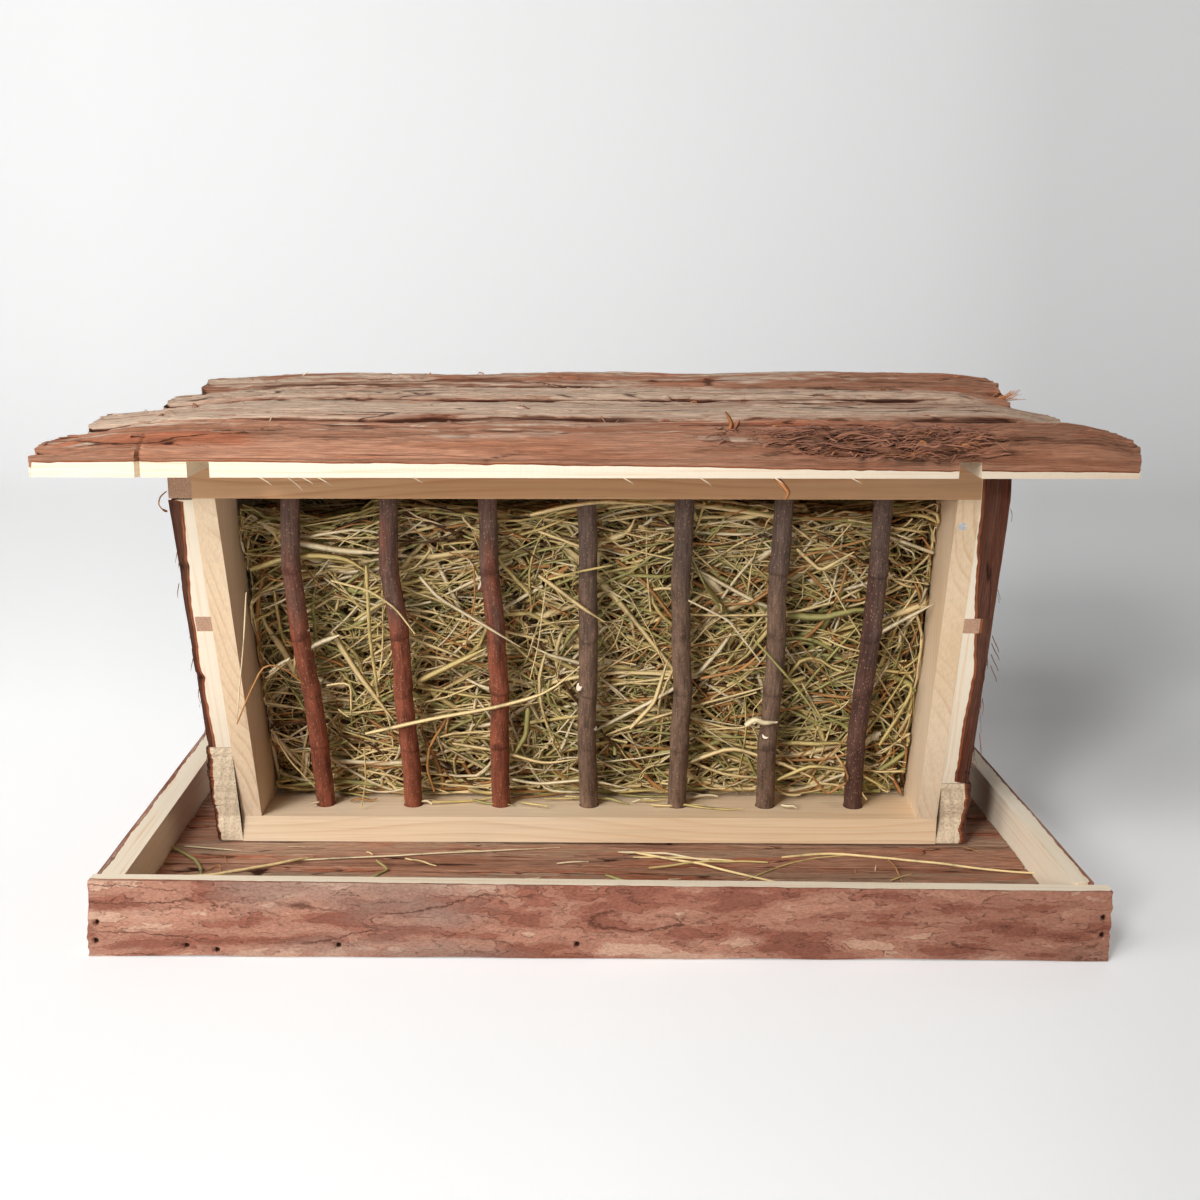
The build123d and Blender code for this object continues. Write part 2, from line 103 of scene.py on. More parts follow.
# ------------------------------------------------------------------ settings
class BarkSettings(bpy.types.PropertyGroup):
    """Sizes and colours of the bark."""
    step: size("Mesh step along", "Distance between the bark's mesh points along the grain", 1.5)
    fine_step: size("Mesh step across", "Distance between the bark's mesh points across the grain", 0.62)
    roof_relief: size("Roof relief", "Height of the roof bark's ridges over its splits", 5.4)
    board_relief: size("Board relief", "Height of the boards' bark scales over their cracks", 2.0)
    floor_relief: size("Floor relief", "Height of the floor bark's ridges over its splits", 3.0)
    panel_relief: size("Panel relief", "Height of the side panels' bark ridges over their splits", 3.6)
    wane: size("Wane", "How far a slab's natural edge wanders inwards", 2.2)
    # weathered grey on the roof's tops, made lighter partly as painted sheen: the greyish veil of rough bark seen at a
    # grazing angle
    roof_worn_and_sheen: colour("Weathered bark", "Greyed strips on top of the roof", "D6BAA2")
    roof_body: colour("Roof bark", "Fresh bark of the roof", "C08D71")
    roof_split: colour("Splits", "Splits in the roof's and the floor's bark", "4A2A1C")
    board_flake: colour("Pale scales", "Top scales of the tray boards' bark", "C79E86")
    board_body: colour("Board bark", "Bark of the tray boards", "AC7B66")
    board_red: colour("Red board bark", "Deeper layers of the tray boards' bark", "9C6350")
    board_grey: colour("Grey board bark", "Weathered zones of the tray boards' bark", "9B8577")
    board_crack: colour("Board cracks", "Cracks between the scales", "5A3526")
    floor_worn: colour("Worn floor", "Greyed strips of the floor's bark", "BC9A80")
    floor_body: colour("Floor bark", "Bark of the floor planks", "C6957A")
    panel_worn: colour("Worn panels", "Greyed strips of the side panels' bark", "90695C")
    panel_body: colour("Panel bark", "Bark of the side panels", "6B4637")
    panel_split: colour("Panel splits", "Splits in the side panels' bark", "24140E")
    inner_worn: colour("Pale inner bark", "Paler fibres of the inner bark", "C08A60")
    inner_bark: colour("Inner bark", "Inner bark between the wood and the outer bark", "A5633F")
    inner_split: colour("Inner splits", "Splits in the inner bark", "5A321C")
    fibre_orange: colour("Orange fibre", "Fresh fibres of inner bark", "BE7C4A")
    fibre_brown: colour("Brown fibre", "Fibres of the bark", "A66F55")
    fibre_dark: colour("Dark fibre", "Old fibres of the bark", "744834")


class WoodSettings(bpy.types.PropertyGroup):
    """Colours of the sawn and planed wood."""
    early: colour("Earlywood", "Pale wood between the growth lines", "F2DBBC")
    warm: colour("Warm wood", "Heartwood patches", "E6C69F")
    late: colour("Latewood", "Thin growth lines", "D2A87B")
    saw_pale: colour("Sawn edge", "Freshly sawn slab edge", "F1E3CC")
    # painted shade: browner, darker wood for the top rails and tie battens, standing in for the shade under the roof's
    # overhang
    painted_roof_shade: colour("Brown wood", "Browner wood of the top rails", "E0C4AC")
    fibre: colour("Wood fibre", "Fine curls and splinters of wood", "F0DDBE")
    end_pale: colour("End grain", "Cross-cut wood", "F3DDBD")
    end_dark: colour("Batten ends", "Cross-cut ends of the planed battens", "CBA083")
    bevel: size("Eased edge", "Width of the planed pieces' eased edges", 0.7)


class TwigSettings(bpy.types.PropertyGroup):
    """Sizes and colours of the twig bars."""
    foot_radius: size("Foot radius", "Twig radius at the bottom rail", 6.3)
    head_radius: size("Head radius", "Twig radius at the top rail", 5.8)
    knot_swell: size("Knot swell", "How much a knot stands out", 0.8)
    red: colour("Red bark", "Bark of the reddest bars", "904F38")
    grey: colour("Grey bark", "Bark of the greyest bars", "7C6250")
    dark: colour("Dark bark", "Bark of the darkest bars", "5E4036")
    bloom: colour("Bloom", "Greyer bark on the younger upper part", "6E5A50")


class HaySettings(bpy.types.PropertyGroup):
    """Amount, size and colours of the hay."""
    leaves: IntProperty(name="Leaves", description="Flat grass leaves in the rack", default=5200, min=100)
    stalks: IntProperty(name="Stalks", description="Round stalks in the rack", default=3800, min=100)
    length: size("Length", "Usual length of a stalk", 78.0)
    straw: colour("Straw", "Dry straw-yellow stalks", "F6DA9E")
    pale: colour("Pale", "Bleached stalks", "F4E0B6")
    green: colour("Green", "Stalks dried green", "B7AE6C")
    olive: colour("Olive", "Stalks between green and yellow", "DDC480")
    brown: colour("Brown", "Withered leaves", "BE8850")
    dark: colour("Dark", "Old withered stalks", "5E3E24")


class StageSettings(bpy.types.PropertyGroup):
    """Camera, floor and lamps."""
    camera_place: FloatVectorProperty(name="Camera", description="Where the camera stands",
                                      default=(0.0186, -0.9694, 0.3976), subtype="TRANSLATION", precision=4)
    camera_pitch: amount("Pitch", "How far the camera looks down", math.radians(12.83), subtype="ANGLE")
    camera_turn: amount("Turn", "How far the camera is turned to its left", math.radians(0.67), subtype="ANGLE")
    lens: amount("Lens", "Focal length in mm on a 36 mm sensor", 43.5)
    key_strength: amount("Key strength", "Strength of the far lamp at the front left, in W/m2", 1.45)
    fill_power: amount("Fill power", "Power of the lamp at the left in W", 4.5)
    high_power: amount("High power", "Power of the high lamp at the front left in W", 20.0)
    sky: amount("Sky", "Strength of the even light from all sides", 0.15)
    floor: colour("Floor", "Paper floor and backdrop", "F2F1F0")


SETTINGS = {"bark": BarkSettings, "wood": WoodSettings, "twigs": TwigSettings, "hay": HaySettings,
            "stage": StageSettings}


def settings(name):
    return getattr(bpy.context.scene, "hay_feeder_" + name)


# ------------------------------------------------------------------ node helper
# settings of the Mix node for laying one colour over another, and for staining one with another
BLEND = {"data_type": "RGBA"}
STAIN = {"data_type": "RGBA", "blend_type": "MULTIPLY"}


def as_rgba(value):
    """A hex text, a colour setting or a grey number as four numbers."""
    if isinstance(value, str):
        return (*srgb(value), 1.0)
    if isinstance(value, (int, float)):
        return (value, value, value, 1.0)
    return (*tuple(value)[:3], 1.0)


def feed(tree, node, inputs):
    """Links or sets inputs of a node. A node among the values stands for its main output."""
    for name, value in inputs.items():
        if isinstance(value, bpy.types.Node):
            value = value.outputs[2 if value.type == "MIX" else 0]
        if isinstance(value, bpy.types.NodeSocket):
            tree.links.new(value, node.inputs[name])
        elif node.inputs[name].type == "RGBA":
            node.inputs[name].default_value = as_rgba(value)
        else:
            node.inputs[name].default_value = value


def add(tree, kind, inputs=None, stops=None, **values):
    """Adds a shader node with its settings, its ramp stops and its links or input values."""
    node = tree.nodes.new("ShaderNode" + kind)
    for name, value in values.items():
        setattr(node, name, value)
    if stops:
        ramp = node.color_ramp
        while len(ramp.elements) < len(stops):
            ramp.elements.new(0.5)
        for element, (place, value) in zip(ramp.elements, stops):
            element.position = place
            element.color = as_rgba(value)
    feed(tree, node, inputs or {})
    return node


def new_surface(name):
    """A material with a bare Principled surface, and its nodes."""
    made = bpy.data.materials.new(name)
    made.use_nodes = True
    tree = made.node_tree
    tree.nodes.clear()
    add(tree, "OutputMaterial", {"Surface": add(tree, "BsdfPrincipled")})
    return made, tree


def finished(made, tone, roughness, shine, height=None, strength=1.0, depth=0.0, metal=0.0):
    """The material, with its tone, roughness and shine on its surface. height gives a bump of depth mm."""
    tree = made.node_tree
    inputs = {"Base Color": tone, "Roughness": roughness, "Specular IOR Level": shine, "Metallic": metal}
    if height:
        inputs["Normal"] = add(tree, "Bump", {"Height": height, "Strength": strength, "Distance": depth * MM})
    feed(tree, tree.nodes["Principled BSDF"], inputs)
    return made


def darker(value, share):
    """A colour, scaled in linear light."""
    return tuple(c * share for c in as_rgba(value)[:3])


def along_grain(tree, along=1.0, across=1.0, turn=None, place=None):
    """A place, times one scale along the grain and one across it. turn is the way a whole CAD piece lies."""
    if place is None and turn is None:
        place = add(tree, "Attribute", attribute_name="grain").outputs["Vector"]
    elif place is None:
        place = add(tree, "Mapping", {"Vector": add(tree, "TexCoord").outputs["Object"], "Rotation": turn})
    return add(tree, "Mapping", {"Vector": place, "Scale": (along, across, across)})


# ------------------------------------------------------------------ materials
def spruce(name, turn, tint=(1.0, 1.0, 1.0)):
    """Spruce, planed. Pale earlywood with straight tan growth lines, satin, with pitted darker ends."""
    wood = settings("wood")
    made, tree = new_surface(name)
    place = along_grain(tree, turn=turn)
    # growth lines 4.2 mm apart, slanting through the piece and drifting a little
    pitch = 4.2 * MM
    drift = add(tree, "TexNoise", {
        "Vector": along_grain(tree, 3.2, 26.0, turn), "Scale": 1.0, "Detail": 1.0, "Roughness": 0.4})
    lines = add(tree, "VectorMath", {0: place, 1: (0.0, 0.82 / pitch, 0.57 / pitch)}, operation="DOT_PRODUCT")
    lines = add(tree, "Math", {0: drift, 1: 9.0, 2: lines.outputs["Value"]}, operation="MULTIPLY_ADD")
    lines = add(tree, "Math", {0: lines}, operation="FRACT")
    late = add(tree, "ValToRGB", {"Fac": lines}, stops=[(0.0, 0.0), (0.55, 0.06), (0.88, 0.62), (0.96, 0.0)])
    bold = add(tree, "TexNoise", {"Vector": along_grain(tree, 2.0, 60.0, turn), "Scale": 1.0, "Detail": 1.0})
    bold = add(tree, "ValToRGB", {"Fac": bold}, stops=[(0.36, 0.18), (0.66, 1.0)])
    late = add(tree, "Math", {0: late, 1: bold}, operation="MULTIPLY")
    # fibres about 1 mm wide, drawn coarser than real ones so that they show
    fibre = add(tree, "TexNoise", {
        "Vector": along_grain(tree, 14.0, 900.0, turn), "Scale": 1.0, "Detail": 3.0, "Roughness": 0.6})
    patch = add(tree, "TexNoise", {"Vector": along_grain(tree, 4.0, 13.0, turn), "Scale": 1.0, "Detail": 2.0})
    heart = add(tree, "ValToRGB", {"Fac": patch}, stops=[(0.36, 0.0), (0.70, 1.0)])
    tone = add(tree, "Mix", {0: heart, 6: wood.early, 7: wood.warm}, **BLEND)
    tone = add(tree, "Mix", {0: late, 6: tone, 7: wood.late}, **BLEND)
    shade = add(tree, "ValToRGB", {"Fac": fibre}, stops=[(0.28, 0.84), (0.60, 1.0)])
    tone = add(tree, "Mix", {0: 0.8, 6: tone, 7: shade}, **STAIN)
    tone = add(tree, "Mix", {0: 1.0, 6: tone, 7: tint}, **STAIN)
    # the piece's ends, told by the way their faces look
    looks = add(tree, "TexCoord").outputs["Normal"]
    looks = add(tree, "Mapping", {"Vector": looks, "Rotation": turn}, vector_type="NORMAL")
    looks = add(tree, "SeparateXYZ", {"Vector": looks})
    looks = add(tree, "Math", {0: looks.outputs["X"]}, operation="ABSOLUTE")
    is_end = add(tree, "ValToRGB", {"Fac": looks}, stops=[(0.80, 0.0), (0.90, 1.0)])
    # pores of the cut ends, about 1 mm apart
    pits = add(tree, "TexNoise", {
        "Vector": along_grain(tree, 300.0, 1100.0, turn), "Scale": 1.0, "Detail": 3.0, "Roughness": 0.7})
    cut = add(tree, "ValToRGB", {"Fac": pits}, stops=[(0.35, darker(wood.end_dark, 0.6)), (0.62, wood.end_dark)])
    cut_line = add(tree, "Mix", {0: late, 6: cut, 7: darker(wood.end_dark, 0.62)}, **BLEND)
    tone = add(tree, "Mix", {0: is_end, 6: tone, 7: cut_line}, **BLEND)
    return finished(made, tone, roughness=0.62, shine=0.4, height=fibre, strength=0.3, depth=0.3)


def spruce_sawn(name):
    """Spruce as the saw left it. Nearly white, with long faint fibres and the blade's cross marks."""
    wood = settings("wood")
    made, tree = new_surface(name)
    fibre = add(tree, "TexNoise", {
        "Vector": along_grain(tree, 9.0, 420.0), "Scale": 1.0, "Detail": 4.0, "Roughness": 0.6})
    tone = add(tree, "ValToRGB", {"Fac": fibre},
               stops=[(0.24, wood.warm), (0.48, wood.saw_pale), (0.80, wood.saw_pale)])
    # blade marks about 3 mm apart
    marks = add(tree, "TexWave", {
        "Vector": along_grain(tree, 330.0, 60.0), "Scale": 0.32, "Distortion": 3.0, "Detail": 2.0},
        bands_direction="X")
    height = add(tree, "Math", {0: marks.outputs["Fac"], 1: 0.4, 2: fibre}, operation="MULTIPLY_ADD")
    # painted shade: the sawn edges also darken towards the right end where the slab's dull share says so, standing in
    # for the light falling off
    return finished(made, dulled(tree, tone), roughness=0.75, shine=0.3, height=height, strength=0.3, depth=0.35)


def spruce_cross_cut(name):
    """Spruce cut across the grain with a coarse saw. Pitted and rough, with faint growth rings."""
    wood = settings("wood")
    made, tree = new_surface(name)
    place = add(tree, "TexCoord").outputs["Object"]
    # growth rings about 3 mm wide
    rings = add(tree, "TexWave", {
        "Vector": place, "Scale": 48.0, "Distortion": 2.5, "Detail": 1.0, "Detail Scale": 0.8},
        wave_type="RINGS", rings_direction="Y", wave_profile="SAW")
    tone = add(tree, "ValToRGB", {"Fac": rings.outputs["Fac"]},
               stops=[(0.3, wood.end_pale), (0.95, darker(wood.end_pale, 0.86))])
    # saw pits about 1.5 mm apart
    pits = add(tree, "TexNoise", {"Vector": place, "Scale": 640.0, "Detail": 3.0, "Roughness": 0.7})
    shade = add(tree, "ValToRGB", {"Fac": pits}, stops=[(0.36, 0.66), (0.56, 1.0)])
    tone = add(tree, "Mix", {0: 0.8, 6: tone, 7: shade}, **STAIN)
    return finished(made, tone, roughness=0.85, shine=0.25, height=pits, strength=0.8, depth=1.0)


# painted shade for the light falling off towards the right: what bark and wood keep of their red, green and blue at its
# full strength
FALLOFF_SHADE_STAIN = (0.36, 0.27, 0.22)


def torn_place(tree, place, fineness, reach):
    """A place shaken by a few millimetres, so that the edges of a pattern come out torn. reach is in metres."""
    shake = along_grain(tree, *fineness, place=place)
    shake = add(tree, "TexNoise", {"Vector": shake, "Scale": 1.0, "Detail": 3.0, "Roughness": 0.7})
    shake = add(tree, "VectorMath", {0: shake.outputs["Color"], 1: (0.5, 0.5, 0.5)}, operation="SUBTRACT")
    return add(tree, "VectorMath", {0: shake, 1: reach, 2: place}, operation="MULTIPLY_ADD")


def dulled(tree, tone):
    """A bark's or sawn wood's tone with painted shade: browner and darker where the piece's dull share says so,
    standing in for the light falling off towards the right end.
    """
    dull = add(tree, "Attribute", attribute_name="dull").outputs["Fac"]
    brown = add(tree, "Mix", {0: 1.0, 6: tone, 7: FALLOFF_SHADE_STAIN}, **STAIN)
    return add(tree, "Mix", {0: dull, 6: tone, 7: brown}, **BLEND)


def fibrous_bark(name, worn_tone, body, split):
    """Stringy cypress bark as it grew. Matt fibres in long strips, greyed where worn, with dark splits."""
    made, tree = new_surface(name)
    relief, strip, worn = (add(tree, "Attribute", attribute_name=each).outputs["Fac"]
                           for each in ("relief", "strip", "worn"))
    place = torn_place(tree, along_grain(tree), (70.0, 300.0), (0.010, 0.0012, 0.0012))
    # strings 2 to 4 mm wide and 100 mm long
    strings = add(tree, "TexNoise", {
        "Vector": along_grain(tree, 9.0, 300.0, place=place), "Scale": 1.0, "Detail": 5.0, "Roughness": 0.66})
    level = add(tree, "Math", {0: strings, 1: 1.0, 2: -0.5}, operation="MULTIPLY_ADD")
    level = add(tree, "Math", {0: relief, 1: level}, operation="ADD")
    tone = add(tree, "ValToRGB", {"Fac": level},
               stops=[(0.12, split), (0.26, darker(body, 0.40)), (0.40, darker(body, 0.80)), (0.66, body),
                      (1.0, darker(body, 1.2))])
    # patches of redder and of duller bark, 60 to 200 mm long
    patch = add(tree, "TexNoise", {
        "Vector": along_grain(tree, 7.0, 55.0), "Scale": 1.0, "Detail": 3.0, "Roughness": 0.6})
    redder = add(tree, "ValToRGB", {"Fac": patch}, stops=[(0.36, "EADBD2"), (0.50, "FFFFFF"), (0.62, "F2CDBC")])
    tone = add(tree, "Mix", {0: 1.0, 6: tone, 7: redder}, **STAIN)
    # greyed strips with torn edges, 12 to 20 mm wide
    strips = add(tree, "TexNoise", {
        "Vector": along_grain(tree, 11.0, 60.0, place=place), "Scale": 1.0, "Detail": 3.0, "Roughness": 0.6})
    shown = add(tree, "Math", {0: strips, 1: 1.4, 2: -1.2}, operation="MULTIPLY_ADD")
    shown = add(tree, "Math", {0: worn, 1: 1.25, 2: shown}, operation="MULTIPLY_ADD")
    shown = add(tree, "ValToRGB", {"Fac": shown}, stops=[(0.02, 0.0), (0.12, 1.0)])
    grey = add(tree, "Math", {0: strip, 1: 1.6}, operation="MULTIPLY", use_clamp=True)
    grey = add(tree, "Math", {0: grey, 1: shown}, operation="MULTIPLY")
    high = add(tree, "ValToRGB", {"Fac": level}, stops=[(0.30, 0.0), (0.46, 1.0)])
    grey = add(tree, "Math", {0: grey, 1: high}, operation="MULTIPLY")
    worn_fine = add(tree, "Mix", {0: strings, 6: darker(worn_tone, 0.62), 7: darker(worn_tone, 1.36)}, **BLEND)
    tone = add(tree, "Mix", {0: grey, 6: tone, 7: worn_fine}, **BLEND)
    # long thin cracks, 0.5 to 1.5 mm wide
    cracks = add(tree, "TexNoise", {
        "Vector": along_grain(tree, 8.0, 75.0, place=place), "Scale": 1.0, "Detail": 1.0, "Roughness": 0.4})
    line = add(tree, "ValToRGB", {"Fac": cracks}, stops=[(0.482, 0.0), (0.495, 1.0), (0.505, 1.0), (0.518, 0.0)])
    where = add(tree, "ValToRGB", {"Fac": patch}, stops=[(0.50, 0.0), (0.56, 1.0)])
    line = add(tree, "Math", {0: line, 1: where}, operation="MULTIPLY")
    faint = add(tree, "Math", {0: line, 1: 0.85}, operation="MULTIPLY")
    tone = add(tree, "Mix", {0: faint, 6: tone, 7: split}, **BLEND)
    # hair-fine fibres, drawn 1 mm wide
    fine = add(tree, "TexNoise", {
        "Vector": along_grain(tree, 60.0, 1100.0), "Scale": 1.0, "Detail": 4.0, "Roughness": 0.75})
    shade = add(tree, "ValToRGB", {"Fac": fine}, stops=[(0.32, 0.50), (0.64, 1.2)])
    tone = add(tree, "Mix", {0: 0.9, 6: tone, 7: shade}, **STAIN)
    height = add(tree, "Math", {0: fine, 1: 0.5, 2: strings}, operation="MULTIPLY_ADD")
    height = add(tree, "Math", {0: line, 1: -0.6, 2: height}, operation="MULTIPLY_ADD")
    return finished(made, dulled(tree, tone), roughness=0.9, shine=0.2, height=height, strength=1.0, depth=1.5)


def scaly_bark(name):
    """Young conifer bark as it grew. Flat torn-edged scales in layers, redder below and paler above."""
    bark = settings("bark")
    made, tree = new_surface(name)
    place = along_grain(tree)
    drift = add(tree, "TexNoise", {"Vector": place, "Scale": 34.0, "Detail": 2.0})
    drift = add(tree, "VectorMath", {0: drift.outputs["Color"], 1: (0.5, 0.5, 0.5)}, operation="SUBTRACT")
    drift = add(tree, "VectorMath", {0: drift, 1: (0.010, 0.006, 0.006), 2: place}, operation="MULTIPLY_ADD")
    torn = torn_place(tree, drift, (210.0, 420.0), (0.0100, 0.0040, 0.0040))
    # scales 10 to 50 mm long and a quarter as wide
    scales = add(tree, "TexNoise", {
        "Vector": along_grain(tree, 21.0, 84.0, place=torn), "Scale": 1.0, "Detail": 2.5, "Roughness": 0.5})
    layers = add(tree, "ValToRGB", {"Fac": scales}, stops=[
        (0.395, 0.0), (0.400, 0.28), (0.460, 0.28), (0.465, 0.50), (0.530, 0.50), (0.535, 0.74),
        (0.605, 0.74), (0.610, 1.0)])
    zone = add(tree, "TexNoise", {
        "Vector": along_grain(tree, 8.0, 26.0, place=torn), "Scale": 1.0, "Detail": 3.0, "Roughness": 0.6})
    shift = add(tree, "Math", {0: zone, 1: 1.1, 2: -0.55}, operation="MULTIPLY_ADD")
    shift = add(tree, "Math", {0: layers, 1: shift}, operation="ADD")
    tone = add(tree, "ValToRGB", {"Fac": shift}, stops=[
        (0.05, darker(bark.board_red, 0.80)), (0.30, bark.board_red), (0.55, bark.board_body),
        (0.85, darker(bark.board_body, 1.14)), (1.05, bark.board_flake)])
    # grey weathered zones, 60 to 150 mm long
    veil = add(tree, "TexNoise", {
        "Vector": along_grain(tree, 7.0, 22.0), "Scale": 1.0, "Detail": 4.0, "Roughness": 0.6})
    veil = add(tree, "ValToRGB", {"Fac": veil}, stops=[(0.50, 0.0), (0.64, 0.55)])
    tone = add(tree, "Mix", {0: veil, 6: tone, 7: bark.board_grey}, **BLEND)
    # painted shadows: dark edges under some scales, where an upper scale would shade the one below; and long cracks 0.5
    # mm wide
    painted_rim_shadows = add(tree, "ValToRGB", {"Fac": scales}, stops=[
        (0.384, 0.0), (0.393, 1.0), (0.400, 0.0), (0.449, 0.0), (0.458, 1.0), (0.465, 0.0),
        (0.519, 0.0), (0.528, 1.0), (0.535, 0.0), (0.594, 0.0), (0.603, 1.0), (0.610, 0.0)])
    where = add(tree, "TexNoise", {"Vector": along_grain(tree, 70.0, 160.0), "Scale": 1.0, "Detail": 2.0})
    some = add(tree, "ValToRGB", {"Fac": where}, stops=[(0.50, 0.0), (0.60, 0.65)])
    painted_rim_shadows = add(tree, "Math", {0: painted_rim_shadows, 1: some}, operation="MULTIPLY")
    cracks = add(tree, "TexNoise", {"Vector": along_grain(tree, 9.0, 52.0, place=torn), "Scale": 1.0, "Detail": 0.0})
    line = add(tree, "ValToRGB", {"Fac": cracks}, stops=[(0.488, 0.0), (0.498, 1.0), (0.502, 1.0), (0.512, 0.0)])
    few = add(tree, "ValToRGB", {"Fac": zone}, stops=[(0.50, 0.0), (0.56, 0.85)])
    line = add(tree, "Math", {0: line, 1: few}, operation="MULTIPLY")
    line = add(tree, "Math", {0: line, 1: painted_rim_shadows}, operation="MAXIMUM")
    tone = add(tree, "Mix", {0: line, 6: tone, 7: bark.board_crack}, **BLEND)
    # painted shade: the bark turns very dark where its relief sinks, which is in the brad holes
    relief = add(tree, "Attribute", attribute_name="relief").outputs["Fac"]
    painted_hole_shade = add(tree, "ValToRGB", {"Fac": relief}, stops=[(0.18, 1.0), (0.46, 0.0)])
    tone = add(tree, "Mix", {0: painted_hole_shade, 6: tone, 7: darker(bark.board_crack, 0.5)}, **BLEND)
    # specks about 1 mm wide
    fine = add(tree, "TexNoise", {
        "Vector": along_grain(tree, 420.0, 900.0), "Scale": 1.0, "Detail": 4.0, "Roughness": 0.75})
    speck = add(tree, "ValToRGB", {"Fac": fine}, stops=[(0.32, 0.68), (0.52, 1.0), (0.68, 1.2)])
    tone = add(tree, "Mix", {0: 1.0, 6: tone, 7: speck}, **STAIN)
    height = add(tree, "Math", {0: fine, 1: 0.35, 2: layers}, operation="MULTIPLY_ADD")
    height = add(tree, "Math", {0: line, 1: -0.5, 2: height}, operation="MULTIPLY_ADD")
    return finished(made, dulled(tree, tone), roughness=0.88, shine=0.2, height=height, strength=0.8, depth=1.2)


def twig_bark(name, lit):
    """Thin bark of a cut hazel rod. Dull satin, wrinkled lengthwise, dotted with pale pores, greyer higher up."""
    made, tree = new_surface(name)
    bloomed = settings("twigs").bloom
    # wrinkles about 1 mm wide and 10 mm long
    wrinkles = add(tree, "TexNoise", {
        "Vector": along_grain(tree, 90.0, 800.0), "Scale": 1.0, "Detail": 4.0, "Roughness": 0.65})
    mottle = add(tree, "TexNoise", {
        "Vector": along_grain(tree, 38.0, 160.0), "Scale": 1.0, "Detail": 5.0, "Roughness": 0.65})
    tone = add(tree, "ValToRGB", {"Fac": mottle},
               stops=[(0.32, darker(lit, 0.50)), (0.52, lit), (0.72, darker(lit, 1.3))])
    bloom = add(tree, "ValToRGB", {"Fac": mottle}, stops=[(0.34, darker(bloomed, 0.6)), (0.66, bloomed)])
    young = add(tree, "Attribute", attribute_name="young").outputs["Fac"]
    tone = add(tree, "Mix", {0: young, 6: tone, 7: bloom}, **BLEND)
    # pores 0.6 mm wide and about 2 mm apart
    pores = add(tree, "TexVoronoi", {"Vector": along_grain(tree, 380.0, 560.0), "Scale": 1.0})
    dots = add(tree, "ValToRGB", {"Fac": pores}, stops=[(0.14, 0.55), (0.28, 0.0)])
    tone = add(tree, "Mix", {0: dots, 6: tone, 7: "BF9273"}, **BLEND)
    knot = add(tree, "Attribute", attribute_name="relief").outputs["Fac"]
    tone = add(tree, "Mix", {0: knot, 6: tone, 7: darker(lit, 0.30)}, **BLEND)
    shade = add(tree, "ValToRGB", {"Fac": wrinkles}, stops=[(0.30, 0.52), (0.62, 1.12)])
    tone = add(tree, "Mix", {0: 0.9, 6: tone, 7: shade}, **STAIN)
    height = add(tree, "Math", {0: dots, 1: 0.5, 2: wrinkles}, operation="MULTIPLY_ADD")
    return finished(made, tone, roughness=0.72, shine=0.3, height=height, strength=0.8, depth=0.8)


def dried_grass(name, tint):
    """Meadow grass dried in the field. Streaked and blotched along its length, with a slight waxy gloss."""
    made, tree = new_surface(name)
    place = add(tree, "TexCoord").outputs["Object"]
    # blotches about 10 mm long
    blotch = add(tree, "TexNoise", {"Vector": place, "Scale": 70.0, "Detail": 4.0, "Roughness": 0.6})
    tone = add(tree, "ValToRGB", {"Fac": blotch},
               stops=[(0.30, darker(tint, 0.42)), (0.46, darker(tint, 0.86)), (0.64, tint)])
    return finished(made, tone, roughness=0.5, shine=0.35)


def zinc_plated_steel(name):
    """Wire nail, zinc plated. Bluish white metal, dulled by handling."""
    made, tree = new_surface(name)
    dull = add(tree, "TexNoise", {"Vector": add(tree, "TexCoord").outputs["Object"], "Scale": 900.0, "Detail": 3.0})
    tone = add(tree, "ValToRGB", {"Fac": dull}, stops=[(0.3, "B4B7B9"), (0.7, "ECEDED")])
    rough = add(tree, "ValToRGB", {"Fac": dull}, stops=[(0.3, 0.55), (0.7, 0.4)])
    return finished(made, tone, roughness=rough, shine=0.5, metal=1.0)


QUARTER = math.radians(90)
ALONG, UPRIGHT, CROSSWISE = (0.0, 0.0, 0.0), (0.0, QUARTER, 0.0), (0.0, 0.0, QUARTER)
MAKERS = {
    "board_bark_scaly": scaly_bark,
    "spruce_sawn": spruce_sawn,
    "spruce_cross_cut": spruce_cross_cut,
    "spruce_planed_lengthwise": lambda name: spruce(name, ALONG),
    # planed spruce darkened as painted shade, for the pieces under the roof's overhang
    "spruce_planed_brown": lambda name: spruce(name, ALONG, tint=settings("wood").painted_roof_shade),
    "spruce_planed_upright": lambda name: spruce(name, UPRIGHT),
    "spruce_planed_crosswise": lambda name: spruce(name, CROSSWISE),
    "nail_zinc": zinc_plated_steel,
}
# finishes that differ only in their colours: how each is made, whose settings, and which of them
TINTED = {
    "roof_bark_fibrous": (fibrous_bark, "bark", "roof_worn_and_sheen", "roof_body", "roof_split"),
    "floor_bark_fibrous": (fibrous_bark, "bark", "floor_worn", "floor_body", "roof_split"),
    "panel_bark_fibrous": (fibrous_bark, "bark", "panel_worn", "panel_body", "panel_split"),
    "inner_bark_torn": (fibrous_bark, "bark", "inner_worn", "inner_bark", "inner_split"),
}
TINTED.update({f"twig_bark_{tone}": (twig_bark, "twigs", tone) for tone in ("red", "grey", "dark")})
TINTED.update({f"bark_fibre_{tone}": (dried_grass, "bark", f"fibre_{tone}") for tone in ("orange", "brown", "dark")})
TINTED["wood_fibre"] = (dried_grass, "wood", "fibre")
HAY_TONES = ("hay_straw", "hay_pale", "hay_green", "hay_olive", "hay_brown", "hay_dark")
TINTED.update({name: (dried_grass, "hay", name[4:]) for name in HAY_TONES})


def material(name):
    """The named material, made on first use."""
    if name not in bpy.data.materials:
        if name in MAKERS:
            MAKERS[name](name)
        else:
            maker, group, *tones = TINTED[name]
            maker(name, *(getattr(settings(group), tone) for tone in tones))
    return bpy.data.materials[name]


# ------------------------------------------------------------------ noise
GRADIENTS = {}


